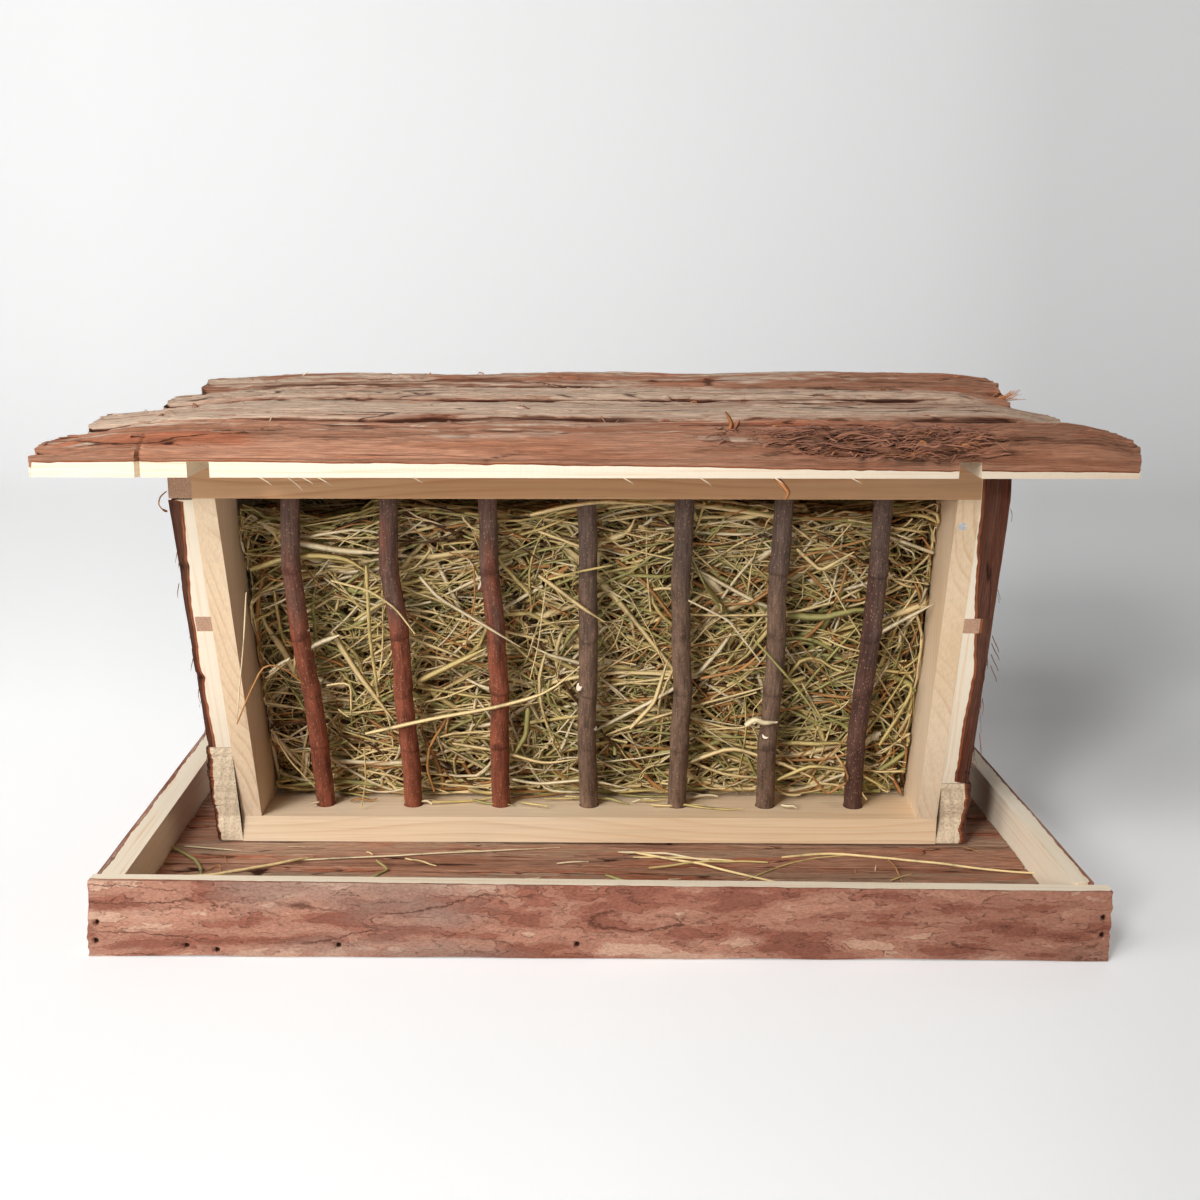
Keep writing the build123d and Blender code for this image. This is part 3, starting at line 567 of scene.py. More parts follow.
def wander(x, y, seed):
    """Smooth random height over two directions, about -1 to 1. One of them may be a single number."""
    cells = 128
    if seed not in GRADIENTS:
        angles = np.random.default_rng(seed).random((cells, cells)) * 2 * np.pi
        GRADIENTS[seed] = (np.cos(angles), np.sin(angles))
    gx, gy = GRADIENTS[seed]
    x0, y0 = np.floor(x).astype(int), np.floor(y).astype(int)
    fx, fy = x - x0, y - y0
    ux, uy = (f * f * f * (f * (f * 6 - 15) + 10) for f in (fx, fy))

    def corner(i, j):
        a, b = (x0 + i) % cells, (y0 + j) % cells
        return gx[a, b] * (fx - i) + gy[a, b] * (fy - j)

    low = corner(0, 0) * (1 - ux) + corner(1, 0) * ux
    high = corner(0, 1) * (1 - ux) + corner(1, 1) * ux
    return (low * (1 - uy) + high * uy) * 1.5


def fibrous_relief(along, across, seed):
    """Stringy bark that peels in long strips: height from 0 in its splits to 1 on its ridges, and how bare each is."""
    bend = wander(along / 0.15, across / 0.06, seed + 1)
    drifted = across + 0.005 * bend + 0.0012 * wander(along / 0.020, across / 0.010, seed + 9)
    broad = wander(along / 0.30, drifted / 0.019, seed)
    strips = wander(along / 0.12, drifted / 0.0085, seed + 2)
    level = (1.0 * broad + 0.8 * strips + 0.12 * wander(along / 0.012, drifted / 0.004, seed + 10)) * 1.9
    step = np.floor(level)
    rest = level - step
    ledges = (step + np.clip(rest * 9, 0, 1)) / 1.9
    strings = wander(along / 0.05, drifted / 0.0030, seed + 3)
    fine = wander(along / 0.014, drifted / 0.0016, seed + 4)
    split_line = wander(along / 0.13 + 0.3 * bend, drifted / 0.013, seed + 5)
    split_where = np.clip(wander(along / 0.08, across / 0.02, seed + 6) * 4.0 - 0.2, 0, 1)
    split = np.clip(1 - np.abs(split_line) / 0.06, 0, 1) * split_where
    foot = np.clip(1 - rest / 0.16, 0, 1)
    height = 0.56 + 0.27 * ledges + 0.09 * strings + 0.06 * fine - 0.70 * split - 0.07 * foot
    tone = (0.62 + 0.5 * wander(along / 0.3, drifted / 0.018, seed + 7)
            + 0.4 * wander(along / 0.08, drifted / 0.005, seed + 8))
    return np.clip(height, 0, 1), np.clip(tone + 0.2 * ledges, 0, 1) * (1 - 0.85 * foot)


def scaly_relief(along, across, seed):
    """Bark in thin flat scales: its gentle swells, and no bare strips, as its scales come from the material."""
    swells = wander(along / 0.045, across / 0.018, seed) + 0.5 * wander(along / 0.014, across / 0.007, seed + 1)
    return np.clip(0.72 + 0.22 * swells, 0.5, 1), np.zeros_like(along)


RELIEFS = {"fibrous": fibrous_relief, "scaly": scaly_relief}


# ------------------------------------------------------------------ mesh makers
def place_piece(name, mesh, materials, body, replaces, sharp=None):
    """Links a finished mesh as a piece of the feeder."""
    for each in materials:
        mesh.materials.append(material(each))
    if sharp is not None:
        mesh.set_sharp_from_angle(angle=math.radians(sharp))
    piece = bpy.data.objects.new(name, mesh)
    bpy.context.scene.collection.objects.link(piece)
    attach(piece, body)
    if replaces:
        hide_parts(*replaces)
    return piece


def mesh_from(name, verts, quads, quad_kinds, wide_faces=(), wide_kinds=(), attributes=None):
    """A mesh from points, four-sided faces and a few wider faces, each with its material number."""
    mesh = bpy.data.meshes.new(name)
    quads = np.asarray(quads, dtype=np.int32).reshape(-1, 4)
    lengths = np.concatenate([np.full(len(quads), 4), [len(f) for f in wide_faces]]).astype(np.int32)
    corners = np.concatenate([quads.ravel()] + [np.asarray(f, dtype=np.int32) for f in wide_faces])
    mesh.vertices.add(len(verts))
    mesh.vertices.foreach_set("co", np.asarray(verts, dtype=np.float32).ravel())
    mesh.loops.add(len(corners))
    mesh.loops.foreach_set("vertex_index", corners.astype(np.int32))
    mesh.polygons.add(len(lengths))
    mesh.polygons.foreach_set("loop_start", np.concatenate([[0], np.cumsum(lengths)[:-1]]).astype(np.int32))
    kinds = np.concatenate([np.asarray(quad_kinds), np.asarray(wide_kinds, dtype=int)])
    mesh.polygons.foreach_set("material_index", kinds.astype(np.int32))
    mesh.polygons.foreach_set("use_smooth", np.ones(len(lengths), dtype=bool))
    mesh.update(calc_edges=True)
    for key, values in (attributes or {}).items():
        values = np.asarray(values, dtype=np.float32)
        kind = "FLOAT_VECTOR" if values.ndim == 2 else "FLOAT"
        layer = mesh.attributes.new(key, kind, "POINT")
        layer.data.foreach_set("vector" if values.ndim == 2 else "value", values.ravel())
    mesh.validate()
    return mesh


def grid_faces(rows, columns, closed=False):
    """Four-sided faces over a grid of points; closed joins the last column to the first."""
    wide = columns if closed else columns - 1
    r, c = np.meshgrid(np.arange(rows - 1), np.arange(wide), indexing="ij")
    r, c = r.ravel(), c.ravel()
    nxt = (c + 1) % columns
    return np.stack([r * columns + c, r * columns + nxt, (r + 1) * columns + nxt, (r + 1) * columns + c], axis=1)


def flat_between(corners):
    """Places on the flat side of a slab, from its corners: start first edge, start last edge, end first, end last."""
    c00, c10, c01, c11 = (np.array(c, dtype=float) for c in corners)

    def place(across_share, along_share):
        a, l = across_share[..., None], along_share[..., None]
        return (c00 * (1 - a) + c10 * a) * (1 - l) + (c01 * (1 - a) + c11 * a) * l
    return place


def along_shares(shares, v):
    """Values spread evenly along a slab, or one value for its whole length."""
    shares = np.atleast_1d(shares)
    return np.interp(v, np.linspace(0, 1, len(shares)), shares)


def bark_slab(name, place, out, edges, crest, relief, seed, body, slot, replaces=(), bark="board_bark_scaly",
              pattern="scaly", grooves=(), wane=(1.0, 1.0), ragged=1.0, roundness=2.2, waviness=1.0,
              wood_shares=(0.7, 0.7), end_share=0.72, straight=0.5, inner=0.8, lift=0.0, bites=(), marks=None,
              worn=(0.0, 0.5), worn_along=1.0, falloff_shade_along=0.0, falloff_shade_wood=0.0, rim_share=0.3,
              droop=(0.0, 0.0), droop_reach=(30.0, 30.0)):
    """A slab sawn flat on one side, its bark crowned over the other.

    place gives points of the flat side from shares across and along the grain, and out is the way its
    bark looks. edges are its heights at the two long edges and crest the height in between, in metres,
    and relief the height of its bark's pattern. grooves are (start share, end share, depth) cut across
    its flat side. bites are (edge, along, width, depth) broken out of a long edge. wane is how far each
    long edge wanders inwards, and ragged how far its ends do, in mm. wood_shares say how much of each
    long edge's height is bare wood, end_share the same for the ends, straight how little that line
    wanders, and inner the width in mm of the inner bark above it. lift raises the flat side. marks adds
    heights and scales the relief, and rim_share is how much of both is left at the very rim. worn is how
    grey the bark is at its edges and on top, scaled by worn_along over its length, falloff_shade_along how brown
    and dark it gets over its length, and falloff_shade_wood how much of that its bare wood takes. droop lowers
    the two ends, over droop_reach, in mm.
    """
    sizes = settings("bark")
    out = np.array(out, dtype=float)
    probe = place(np.array([0.0, 1.0, 0.0, 1.0, 0.5, 0.5]), np.array([0.0, 0.0, 1.0, 1.0, 0.0, 1.0]))
    length = np.linalg.norm(probe[5] - probe[4])
    width = max(np.linalg.norm(probe[1] - probe[0]), np.linalg.norm(probe[3] - probe[2]))
    # stations along the grain, with a pair a hair apart at each side of a groove
    stations = list(np.linspace(0, 1, max(4, int(round(length / sizes.step))) + 1))
    hair = 0.02 * MM / length
    for start, end, _ in grooves:
        stations = [s for s in stations if min(abs(s - start), abs(s - end)) > 4 * hair]
        stations += [start - hair, start + hair, end - hair, end + hair]
    stations = np.array(sorted(s for s in stations if 0 <= s <= 1))
    rows, columns = len(stations), max(6, int(round(width / sizes.fine_step))) + 1
    v, u = np.meshgrid(stations, np.linspace(0, 1, columns), indexing="ij")
    local = np.linalg.norm(place(np.ones(rows), stations) - place(np.zeros(rows), stations), axis=1)[:, None]
    along, across = v * length, (u - 0.5) * local + width / 2
    # how far the natural long edges and the torn ends lie inside the sawn outline
    margins = []
    for edge in (0, 1):
        bitten = np.zeros_like(v)
        for which, where, wide, deep in bites:
            if which == edge:
                bitten = bitten + deep * np.exp(-((along - where) / wide) ** 4)
        natural = wane[edge] * sizes.wane * (0.5 + 0.5 * wander(along / 0.05, edge + 0.5, seed + 11))
        margins.append((natural + bitten) / np.maximum(local, 4 * MM))
    torn = [ragged * MM * (0.6 + 0.8 * wander(across / 0.005, end + 0.5, seed + 21)
                           + 0.6 * wander(across / 0.02, end + 0.5, seed + 22)) / length
            for end in (0, 1)]
    uu = u + margins[0] * (1 - u) ** 5 - margins[1] * u ** 5
    vv = v + torn[0] * np.clip(1 - v * length / 0.006, 0, 1) - torn[1] * np.clip(1 - (1 - v) * length / 0.006, 0, 1)
    flat = place(uu, vv)
    # height of the bark over the flat side
    arch = 1 - np.abs(2 * u - 1) ** roundness
    bark_height, strip = RELIEFS[pattern](along, across, seed)
    extra = np.zeros_like(v)
    if marks is not None:
        extra, keep = marks(along, across)
        bark_height = bark_height * keep
    swell = waviness * MM * wander(along / 0.10, across / 0.04, seed + 31)
    edge = edges[0] * (1 - u) + edges[1] * u
    from_rim = np.minimum(np.minimum(u, 1 - u) * local, np.minimum(v, 1 - v) * length)
    rim = np.clip(from_rim / (3 * MM), rim_share, 1)
    fall = (droop[0] * np.exp(-(along / (droop_reach[0] * MM)) ** 2)
            + droop[1] * np.exp(-((length - along) / (droop_reach[1] * MM)) ** 2)) * MM
    # the bark's usual height is 0.68 of its relief, so 0.32 of it is left above
    height = (edge + (crest - relief * 0.32 - edge) * arch
              + (relief * (bark_height - 0.68) + swell * arch + extra) * rim - fall * np.clip(arch * 1.6, 0.12, 1))
    under = np.full(rows, lift)
    for start, end, deep in grooves:
        under[(stations > start) & (stations < end)] = deep
    height = np.clip(height, np.maximum(min(edges) * 0.55, under[:, None] + 0.5 * MM), crest)
    top = flat + out * height[..., None]

    # the walls, ring over ring: two of wood, the inner bark and the bark
    ring = ([(0, c) for c in range(columns)] + [(r, columns - 1) for r in range(1, rows)]
            + [(rows - 1, c) for c in range(columns - 2, -1, -1)] + [(r, 0) for r in range(rows - 2, 0, -1)])
    rr, cc = np.array([r for r, _ in ring]), np.array([c for _, c in ring])
    ring_flat, ring_height, ring_under = flat[rr, cc], height[rr, cc], under[rr]
    ends = (rr == 0) | (rr == rows - 1)
    share = np.where(ends, end_share, np.where(cc == 0, along_shares(wood_shares[0], v[rr, cc]),
                                               along_shares(wood_shares[1], v[rr, cc])))
    where = np.where(ends, across[rr, cc], along[rr, cc])
    share = np.clip(share + (1 - straight) * (0.16 * wander(where / 0.03, 0.5, seed + 41)
                                              + 0.10 * wander(where / 0.006, 0.5, seed + 42)), 0.02, 0.95)
    wood_top = np.maximum(ring_height * share, ring_under + 0.04 * MM)
    rest = np.maximum(ring_height - wood_top, 0.1 * MM)
    inner_top = wood_top + np.minimum(inner * MM, 0.5 * rest)
    levels = [ring_under, ring_under * 0.5 + wood_top * 0.5, wood_top, inner_top,
              inner_top * 0.5 + np.maximum(ring_height, inner_top) * 0.5]
    chips = 0.5 + wander(where / 0.0032, 0.5, seed + 43)
    shreds = np.abs(wander(where / 0.0060, 1.5, seed + 44))
    insets = [None, 0.06 * chips, 0.06 * chips, 0.25 * chips + 0.3 * shreds, 0.9 * shreds]
    middle = flat.reshape(-1, 3).mean(axis=0)
    away = ring_flat - middle
    away -= out * (away @ out)[:, None]
    away /= np.linalg.norm(away, axis=1, keepdims=True) + 1e-9
    wall, wall_grain = [], []
    for number, level in enumerate(levels):
        place_at = ring_flat + out * level[:, None]
        if number:
            place_at = place_at - away * np.abs(insets[number])[:, None] * MM
        wall.append(place_at)
        wall_grain.append(np.stack([along[rr, cc], across[rr, cc] + level * 0.7, level], axis=1))
    # faces of the top, the walls and the flat side
    verts = np.concatenate([top.reshape(-1, 3)] + wall)
    quads, kinds = [grid_faces(rows, columns)], [np.zeros((rows - 1) * (columns - 1), dtype=int)]
    base, count = rows * columns, len(ring)
    index = np.arange(count)
    following = (index + 1) % count
    side_of = np.where((cc == 0) & (cc[following] == 0), 1, np.where(
        (cc == columns - 1) & (cc[following] == columns - 1), 1, 2))
    last_level = len(levels) - 1
    for number in range(len(levels)):
        lower = base + number * count + index
        upper = rr * columns + cc if number == last_level else base + (number + 1) * count + index
        quads.append(np.stack([lower, lower[following], upper[following], upper], axis=1))
        kinds.append(side_of if number < 2 else np.full(count, 3 if number == 2 else 0))
    spot = {pair: base + i for i, pair in enumerate(ring)}
    last = columns - 1
    strips = np.array([(spot[r, 0], spot[r + 1, 0], spot[r + 1, last], spot[r, last]) for r in range(1, rows - 2)])
    quads.append(strips)
    kinds.append(np.full(len(strips), 1))
    wide = [
        [spot[1, 0], spot[1, last]] + [spot[0, c] for c in range(last, -1, -1)],
        [spot[rows - 2, 0]] + [spot[rows - 1, c] for c in range(columns)] + [spot[rows - 2, last]],
    ]
    quads = np.concatenate(quads)
    if np.dot(np.cross(probe[1] - probe[0], probe[2] - probe[0]) + np.cross(probe[3] - probe[2], probe[3] - probe[1]),
              out) < 0:
        quads, wide = quads[:, ::-1], [f[::-1] for f in wide]
    # what the materials read at each point; the offset gives each slab its own part of their patterns
    offset = np.array([seed * 0.37 % 3, seed * 0.11 % 3, seed * 0.05 % 3])
    top_grain = np.stack([along, across, height], axis=-1).reshape(-1, 3)
    worn_top = (worn[0] + (worn[1] - worn[0]) * np.clip((arch - 0.35) / 0.45, 0, 1)) * along_shares(worn_along, v)
    # painted shade: browner and darker along the slab, standing in for the light falling off towards the right end
    dull = along_shares(falloff_shade_along, v)
    walls = len(levels)
    attributes = {
        "relief": np.concatenate([bark_height.ravel()] + [bark_height[rr, cc] * 0.5 + 0.32] * walls),
        "strip": np.concatenate([strip.ravel()] + [strip[rr, cc]] * walls),
        "worn": np.concatenate([worn_top.ravel()] + [np.full(count, worn[0])] * walls),
        "dull": np.concatenate([dull.ravel()] + [dull[rr, cc] * falloff_shade_wood] * walls),
        "grain": np.concatenate([top_grain] + wall_grain) + offset,
    }
    mesh = mesh_from(name, verts, quads, np.concatenate(kinds), wide, [1, 1], attributes)
    return place_piece(name, mesh, [bark, "spruce_sawn", "spruce_cross_cut", "inner_bark_torn"],
                       body, replaces, sharp=52)


def smooth_lines(ways, stations):
    """Smooth lines through way points: (n, k, 3) to (n, stations, 3)."""
    known = ways.shape[1]
    t = np.linspace(0, known - 1, stations)
    i = np.clip(np.floor(t).astype(int), 0, known - 2)
    f = (t - i)[None, :, None]
    before, after = np.clip(i - 1, 0, known - 1), np.clip(i + 2, 0, known - 1)
    p0, p1, p2, p3 = ways[:, before], ways[:, i], ways[:, i + 1], ways[:, after]
    return 0.5 * (2 * p1 + (p2 - p0) * f + (2 * p0 - 5 * p1 + 4 * p2 - p3) * f ** 2
                  + (3 * p1 - p0 - 3 * p2 + p3) * f ** 3)


def directions(points):
    """Unit tangents of lines, (n, k, 3)."""
    tangent = np.gradient(points, axis=1)
    return tangent / (np.linalg.norm(tangent, axis=2, keepdims=True) + 1e-12)


def stalk_mesh(points, radii, sides=5):
    """Round closed stalks along many lines. Returns points and four-sided faces."""
    count, stations, _ = points.shape
    tangent = directions(points)
    helper = np.where(np.abs(tangent[..., 2:3]) > 0.9, [[[1.0, 0, 0]]], [[[0, 0, 1.0]]])
    side = np.cross(tangent, helper)
    side /= np.linalg.norm(side, axis=2, keepdims=True) + 1e-12
    up = np.cross(side, tangent)
    angles = np.arange(sides) * 2 * np.pi / sides
    verts = points[:, :, None, :] + radii[:, :, None, None] * (
        np.cos(angles)[None, None, :, None] * side[:, :, None, :]
        + np.sin(angles)[None, None, :, None] * up[:, :, None, :])
    one = grid_faces(stations, sides, closed=True)[:, ::-1]
    faces = (np.arange(count)[:, None, None] * stations * sides + one[None]).reshape(-1, 4)
    return verts.reshape(-1, 3), faces, len(one)


def leaf_mesh(points, widths, facing, fold):
    """Thin folded leaves along many lines. facing (n, 1, 3) is the way their flat side looks."""
    tangent = directions(points)
    side = np.cross(tangent, facing)
    side /= np.linalg.norm(side, axis=2, keepdims=True) + 1e-12
    up = np.cross(side, tangent)
    half = widths[..., None] / 2
    spine = points + up * half * fold[:, None, None]
    under = spine - up * 0.25 * MM
    verts = np.stack([points - side * half, spine, points + side * half, under], axis=2)
    count, stations, _ = points.shape
    one = grid_faces(stations, 4, closed=True)[:, ::-1]
    faces = (np.arange(count)[:, None, None] * stations * 4 + one[None]).reshape(-1, 4)
    return verts.reshape(-1, 3), faces, len(one)


def bundle(name, parts, body, tones=HAY_TONES, replaces=()):
    """One piece made of many stalks. parts holds (points, faces, faces per stalk, tone of each stalk)."""
    verts, faces, kinds, start = [], [], [], 0
    for part_verts, part_faces, per_stalk, tone in parts:
        verts.append(part_verts)
        faces.append(part_faces + start)
        kinds.append(np.repeat(tone, per_stalk))
        start += len(part_verts)
    mesh = mesh_from(name, np.concatenate(verts), np.concatenate(faces), np.concatenate(kinds))
    return place_piece(name, mesh, tones, body, replaces)


def strand(points, width, flat, tone, tones=HAY_TONES, facing=(0.0, -1.0, 0.3), stations=15):
    """One stalk or blade through chosen way points, as a part for bundle."""
    points = np.array(points, dtype=float)
    run = np.concatenate([[0], np.cumsum(np.linalg.norm(np.diff(points, axis=0), axis=1))])
    line = np.stack([np.interp(np.linspace(0, run[-1], stations), run, points[:, i]) for i in range(3)], axis=1)
    eased = line.copy()
    eased[1:-1] = 0.25 * line[:-2] + 0.5 * line[1:-1] + 0.25 * line[2:]
    shape = np.interp(np.linspace(0, 1, stations), (0, 0.08, 0.7, 1), (0.7, 1.0, 0.9, 0.25 if flat else 0.7))
    if flat:
        facing = np.array(facing, dtype=float)
        made = leaf_mesh(eased[None], (width * shape)[None], facing[None, None], np.array([0.35]))
    else:
        made = stalk_mesh(eased[None], (width / 2 * shape)[None], sides=6)
    return (*made, np.array([tones.index(tone)]))


# ------------------------------------------------------------------ places from the frame
def box(node):
    """Lowest and highest corner of a node, as arrays."""
    low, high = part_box(node)
    return np.array(low), np.array(high)


def lean_line():
    """The bars' ends: (distance from the middle plane, height) at the bottom rail and at the top rail."""
    low, high = box("bottom_rail_front")
    top_low, top_high = box("top_rail_front")
    return (-(low[1] + high[1]) / 2, high[2]), (-(top_low[1] + top_high[1]) / 2, top_low[2])


def bar_distance(z):
    """Distance of the bars' middle from the middle plane at height z."""
    (y0, z0), (y1, z1) = lean_line()
    return y0 + (y1 - y0) * (z - z0) / (z1 - z0)


def post_distance(z):
    """Distance of the posts' outer face from the middle plane at height z."""
    y0, y1 = -box("bottom_rail_front")[0][1], -box("top_rail_front")[0][1]
    z0, z1 = box("bottom_rail_front")[1][2], box("top_rail_front")[0][2]
    return np.clip(y0 + (y1 - y0) * (z - z0) / (z1 - z0), y0, y1)


def bar_places():
    """X of each bar, left to right."""
    ends = [(box(f"twig_front_{i}")[0][0] + box(f"twig_front_{i}")[1][0]) / 2 for i in (1, 7)]
    pitch = round((ends[1] - ends[0]) / 6 / (0.5 * MM)) * 0.5 * MM
    return [pitch * (i - 3) for i in range(7)]


def tray_inner(side):
    """X of a tray side board's inner face at the front and at the back."""
    skew = box("tray_front_board")[0][0] - box("tray_back_board")[0][0]
    if side == LEFT:
        front = box("tray_left_board")[1][0]
        return front, front - skew
    back = box("tray_right_board")[0][0]
    return back + skew, back


def bark_top(node, piece, x, y, beside):
    """Height of a row's bark at a place; beside is the share of the row's height that holds where it has none."""
    for number in ROW:
        low, high = box(f"{node}_{number}")
        if low[1] <= y <= high[1] or number == ROW[-1]:
            hit, where, _, _ = bpy.data.objects[f"{piece}_{number}"].ray_cast(
                Vector((x, y, high[2] + 100 * MM)), Vector((0, 0, -1)))
            return where[2] if hit else low[2] * (1 - beside) + high[2] * beside


def roof_height(x, y):
    """Height of the roof's bark at a place."""
    return bark_top("roof_slab", "roof_bark_slab", x, y, 0.5)


def floor_height(x, y):
    """Height of the tray floor's bark at a place."""
    return bark_top("floor_plank", "floor_bark_plank", x, y, 1.0)


# ------------------------------------------------------------------ roof
# how far the front slab's bark is torn up, from its left end, in mm
TORN_FROM, TORN_TO = 385.0, 540.0


def torn_bark(along, across):
    """Rough torn bark near the front edge of the front slab."""
    here = np.clip((along / MM - TORN_FROM) / 60, 0, 1) * np.clip((TORN_TO + 30 - along / MM) / 30, 0, 1)
    here = here * np.clip(1.25 - across / (48 * MM), 0, 1)
    bend = across + 0.006 * wander(along / 0.02, across / 0.012, 904)
    lumps = (2.4 * wander(along / 0.022, bend / 0.009, 901) + 1.6 * wander(along / 0.014, bend / 0.0035, 902)
             + 0.9 * wander(along / 0.006, bend / 0.0018, 905))
    return here * lumps * MM, 1 - 0.6 * here * np.clip(0.5 + 2.0 * wander(along / 0.020, bend / 0.005, 903), 0, 1)


# how far painted shade can reach up a slab's face above its dark edge, in mm
PAINTED_SHADE_REACH = 10.0


def crack_and_joint_shade(where, seed, painted_face_shade=0.0):
    """A slab's broken front edge, up to a distance in mm from it: a shallow crack, darkened further as painted shade in
    the joint with the slab in front. dim darkens the face above it as painted shade.
    """
    def marks(along, across):
        line = (where * MM + 1.6 * MM * wander(along / 0.05, 0.0, seed)
                + 0.6 * MM * wander(along / 0.010, 0.0, seed + 1))
        present = np.clip(wander(along / 0.06, 0.5, seed + 2) * 4 + 1.0, 0, 1)
        line = line + 1.2 * MM * wander(along / 0.02, 0.5, seed + 3)
        # painted shade: the crack's darkness runs on in a band about 6 mm wide below its line, and fainter beyond, so
        # that the joint reads as a shaded groove
        crack = (0.45 + 0.55 * present) * np.clip((line - across) / (1.2 * MM), 0, 1)
        crack = crack * np.clip((across - line + 7 * MM) / (3 * MM), 0.3, 1)
        face = painted_face_shade * np.clip((line + PAINTED_SHADE_REACH * MM - across) / (3 * MM), 0, 1)
        return -0.8 * MM * crack, 1 - np.maximum(0.85 * crack, face)
    return marks


# the roof's slabs from the front: how grey at the edges and on top, from weathering and partly painted sheen; how much
# painted shade darkens them from left to right, for the light falling off; how far the ends droop in mm; and what else
# marks the bark, with painted shade in the joints
ROOF_SLABS = (
    ((0.0, 0.38), (0.0, 0.0, 0.05, 0.30, 0.50), (8.0, 5.0), torn_bark),
    ((0.85, 0.95), (0.0, 0.0, 0.1, 0.2, 0.3), (7.0, 7.0), crack_and_joint_shade(15.0, 911)),
    ((0.45, 0.80), (0.15, 0.15, 0.15, 0.2, 0.3), (5.0, 6.0), crack_and_joint_shade(22.0, 921)),
    ((0.0, 0.50), (0.25, 0.15, 0.15, 0.25, 0.35), (4.0, 4.0), crack_and_joint_shade(16.0, 931, painted_face_shade=0.35)),
)


class HAYFEEDER_OT_roof(bpy.types.Operator):
    """Makes the roof's four bark slabs"""
    bl_idname = "hay_feeder.roof"
    bl_label = "Roof slabs"

    def execute(self, context):
        sizes = settings("bark")
        for number, (worn, falloff_shades, droop, marks) in zip(ROW, ROOF_SLABS):
            low, high = box(f"roof_slab_{number}")
            length = high[0] - low[0]
            grooves = []
            for side in (LEFT, RIGHT):
                tie_low, tie_high = box(f"tie_batten_{SIDE_NAMES[side]}")
                spare = 1.25 * MM
                grooves.append(((tie_low[0] - spare - low[0]) / length, (tie_high[0] + spare - low[0]) / length,
                                tie_high[2] - tie_low[2] + spare))
            corners = [(x, y, low[2]) for x in (low[0], high[0]) for y in (low[1], high[1])]
            front = number == 1
            bark_slab(
                f"roof_bark_slab_{number}", flat_between(corners), (0, 0, 1), (11 * MM if front else 13 * MM, 13 * MM),
                high[2] - low[2], sizes.roof_relief * (0.6 if number == 2 else 1.0), 40 + number * 7, "roof",
                "roof_slab", replaces=(f"roof_slab_{number}",), bark="roof_bark_fibrous", pattern="fibrous",
                grooves=grooves, wane=(0.15 if front else 0.6, 0.6), ragged=3.0, roundness=4.2 if front else 3.2,
                waviness=1.2, wood_shares=((0.86, 0.78, 0.66, 0.44, 0.33), 0.5), end_share=0.5, straight=0.85,
                lift=0.25 * MM, bites=[(0, 62 * MM, 1.2 * MM, 4 * MM)] if front else [],
                marks=marks, worn=worn, worn_along=(1.0, 1.0, 0.95, 0.85, 0.55), falloff_shade_along=falloff_shades, falloff_shade_wood=1.0,
                droop=droop, droop_reach=(42.0, 16.0 if front else 26.0))
        return {"FINISHED"}


SHRED_TONES = ("bark_fibre_orange", "bark_fibre_brown", "bark_fibre_dark", "wood_fibre")
# shreds of torn bark: how many, x from and to, y from and to, longest, in mm, and tone
SHREDS = (
    (230, 108, 228, -172, -140, 34, "bark_fibre_brown"),
    (120, 118, 226, -172, -142, 28, "bark_fibre_dark"),
    (60, 70, 124, -166, -146, 18, "bark_fibre_brown"),
    (90, 120, 222, -175, -158, 26, "bark_fibre_brown"),
    (24, 130, 218, -174, -156, 22, "bark_fibre_orange"),
    (34, -300, 290, -168, -30, 14, "bark_fibre_brown"),
    (22, -280, 280, -150, 150, 12, "bark_fibre_orange"),
)


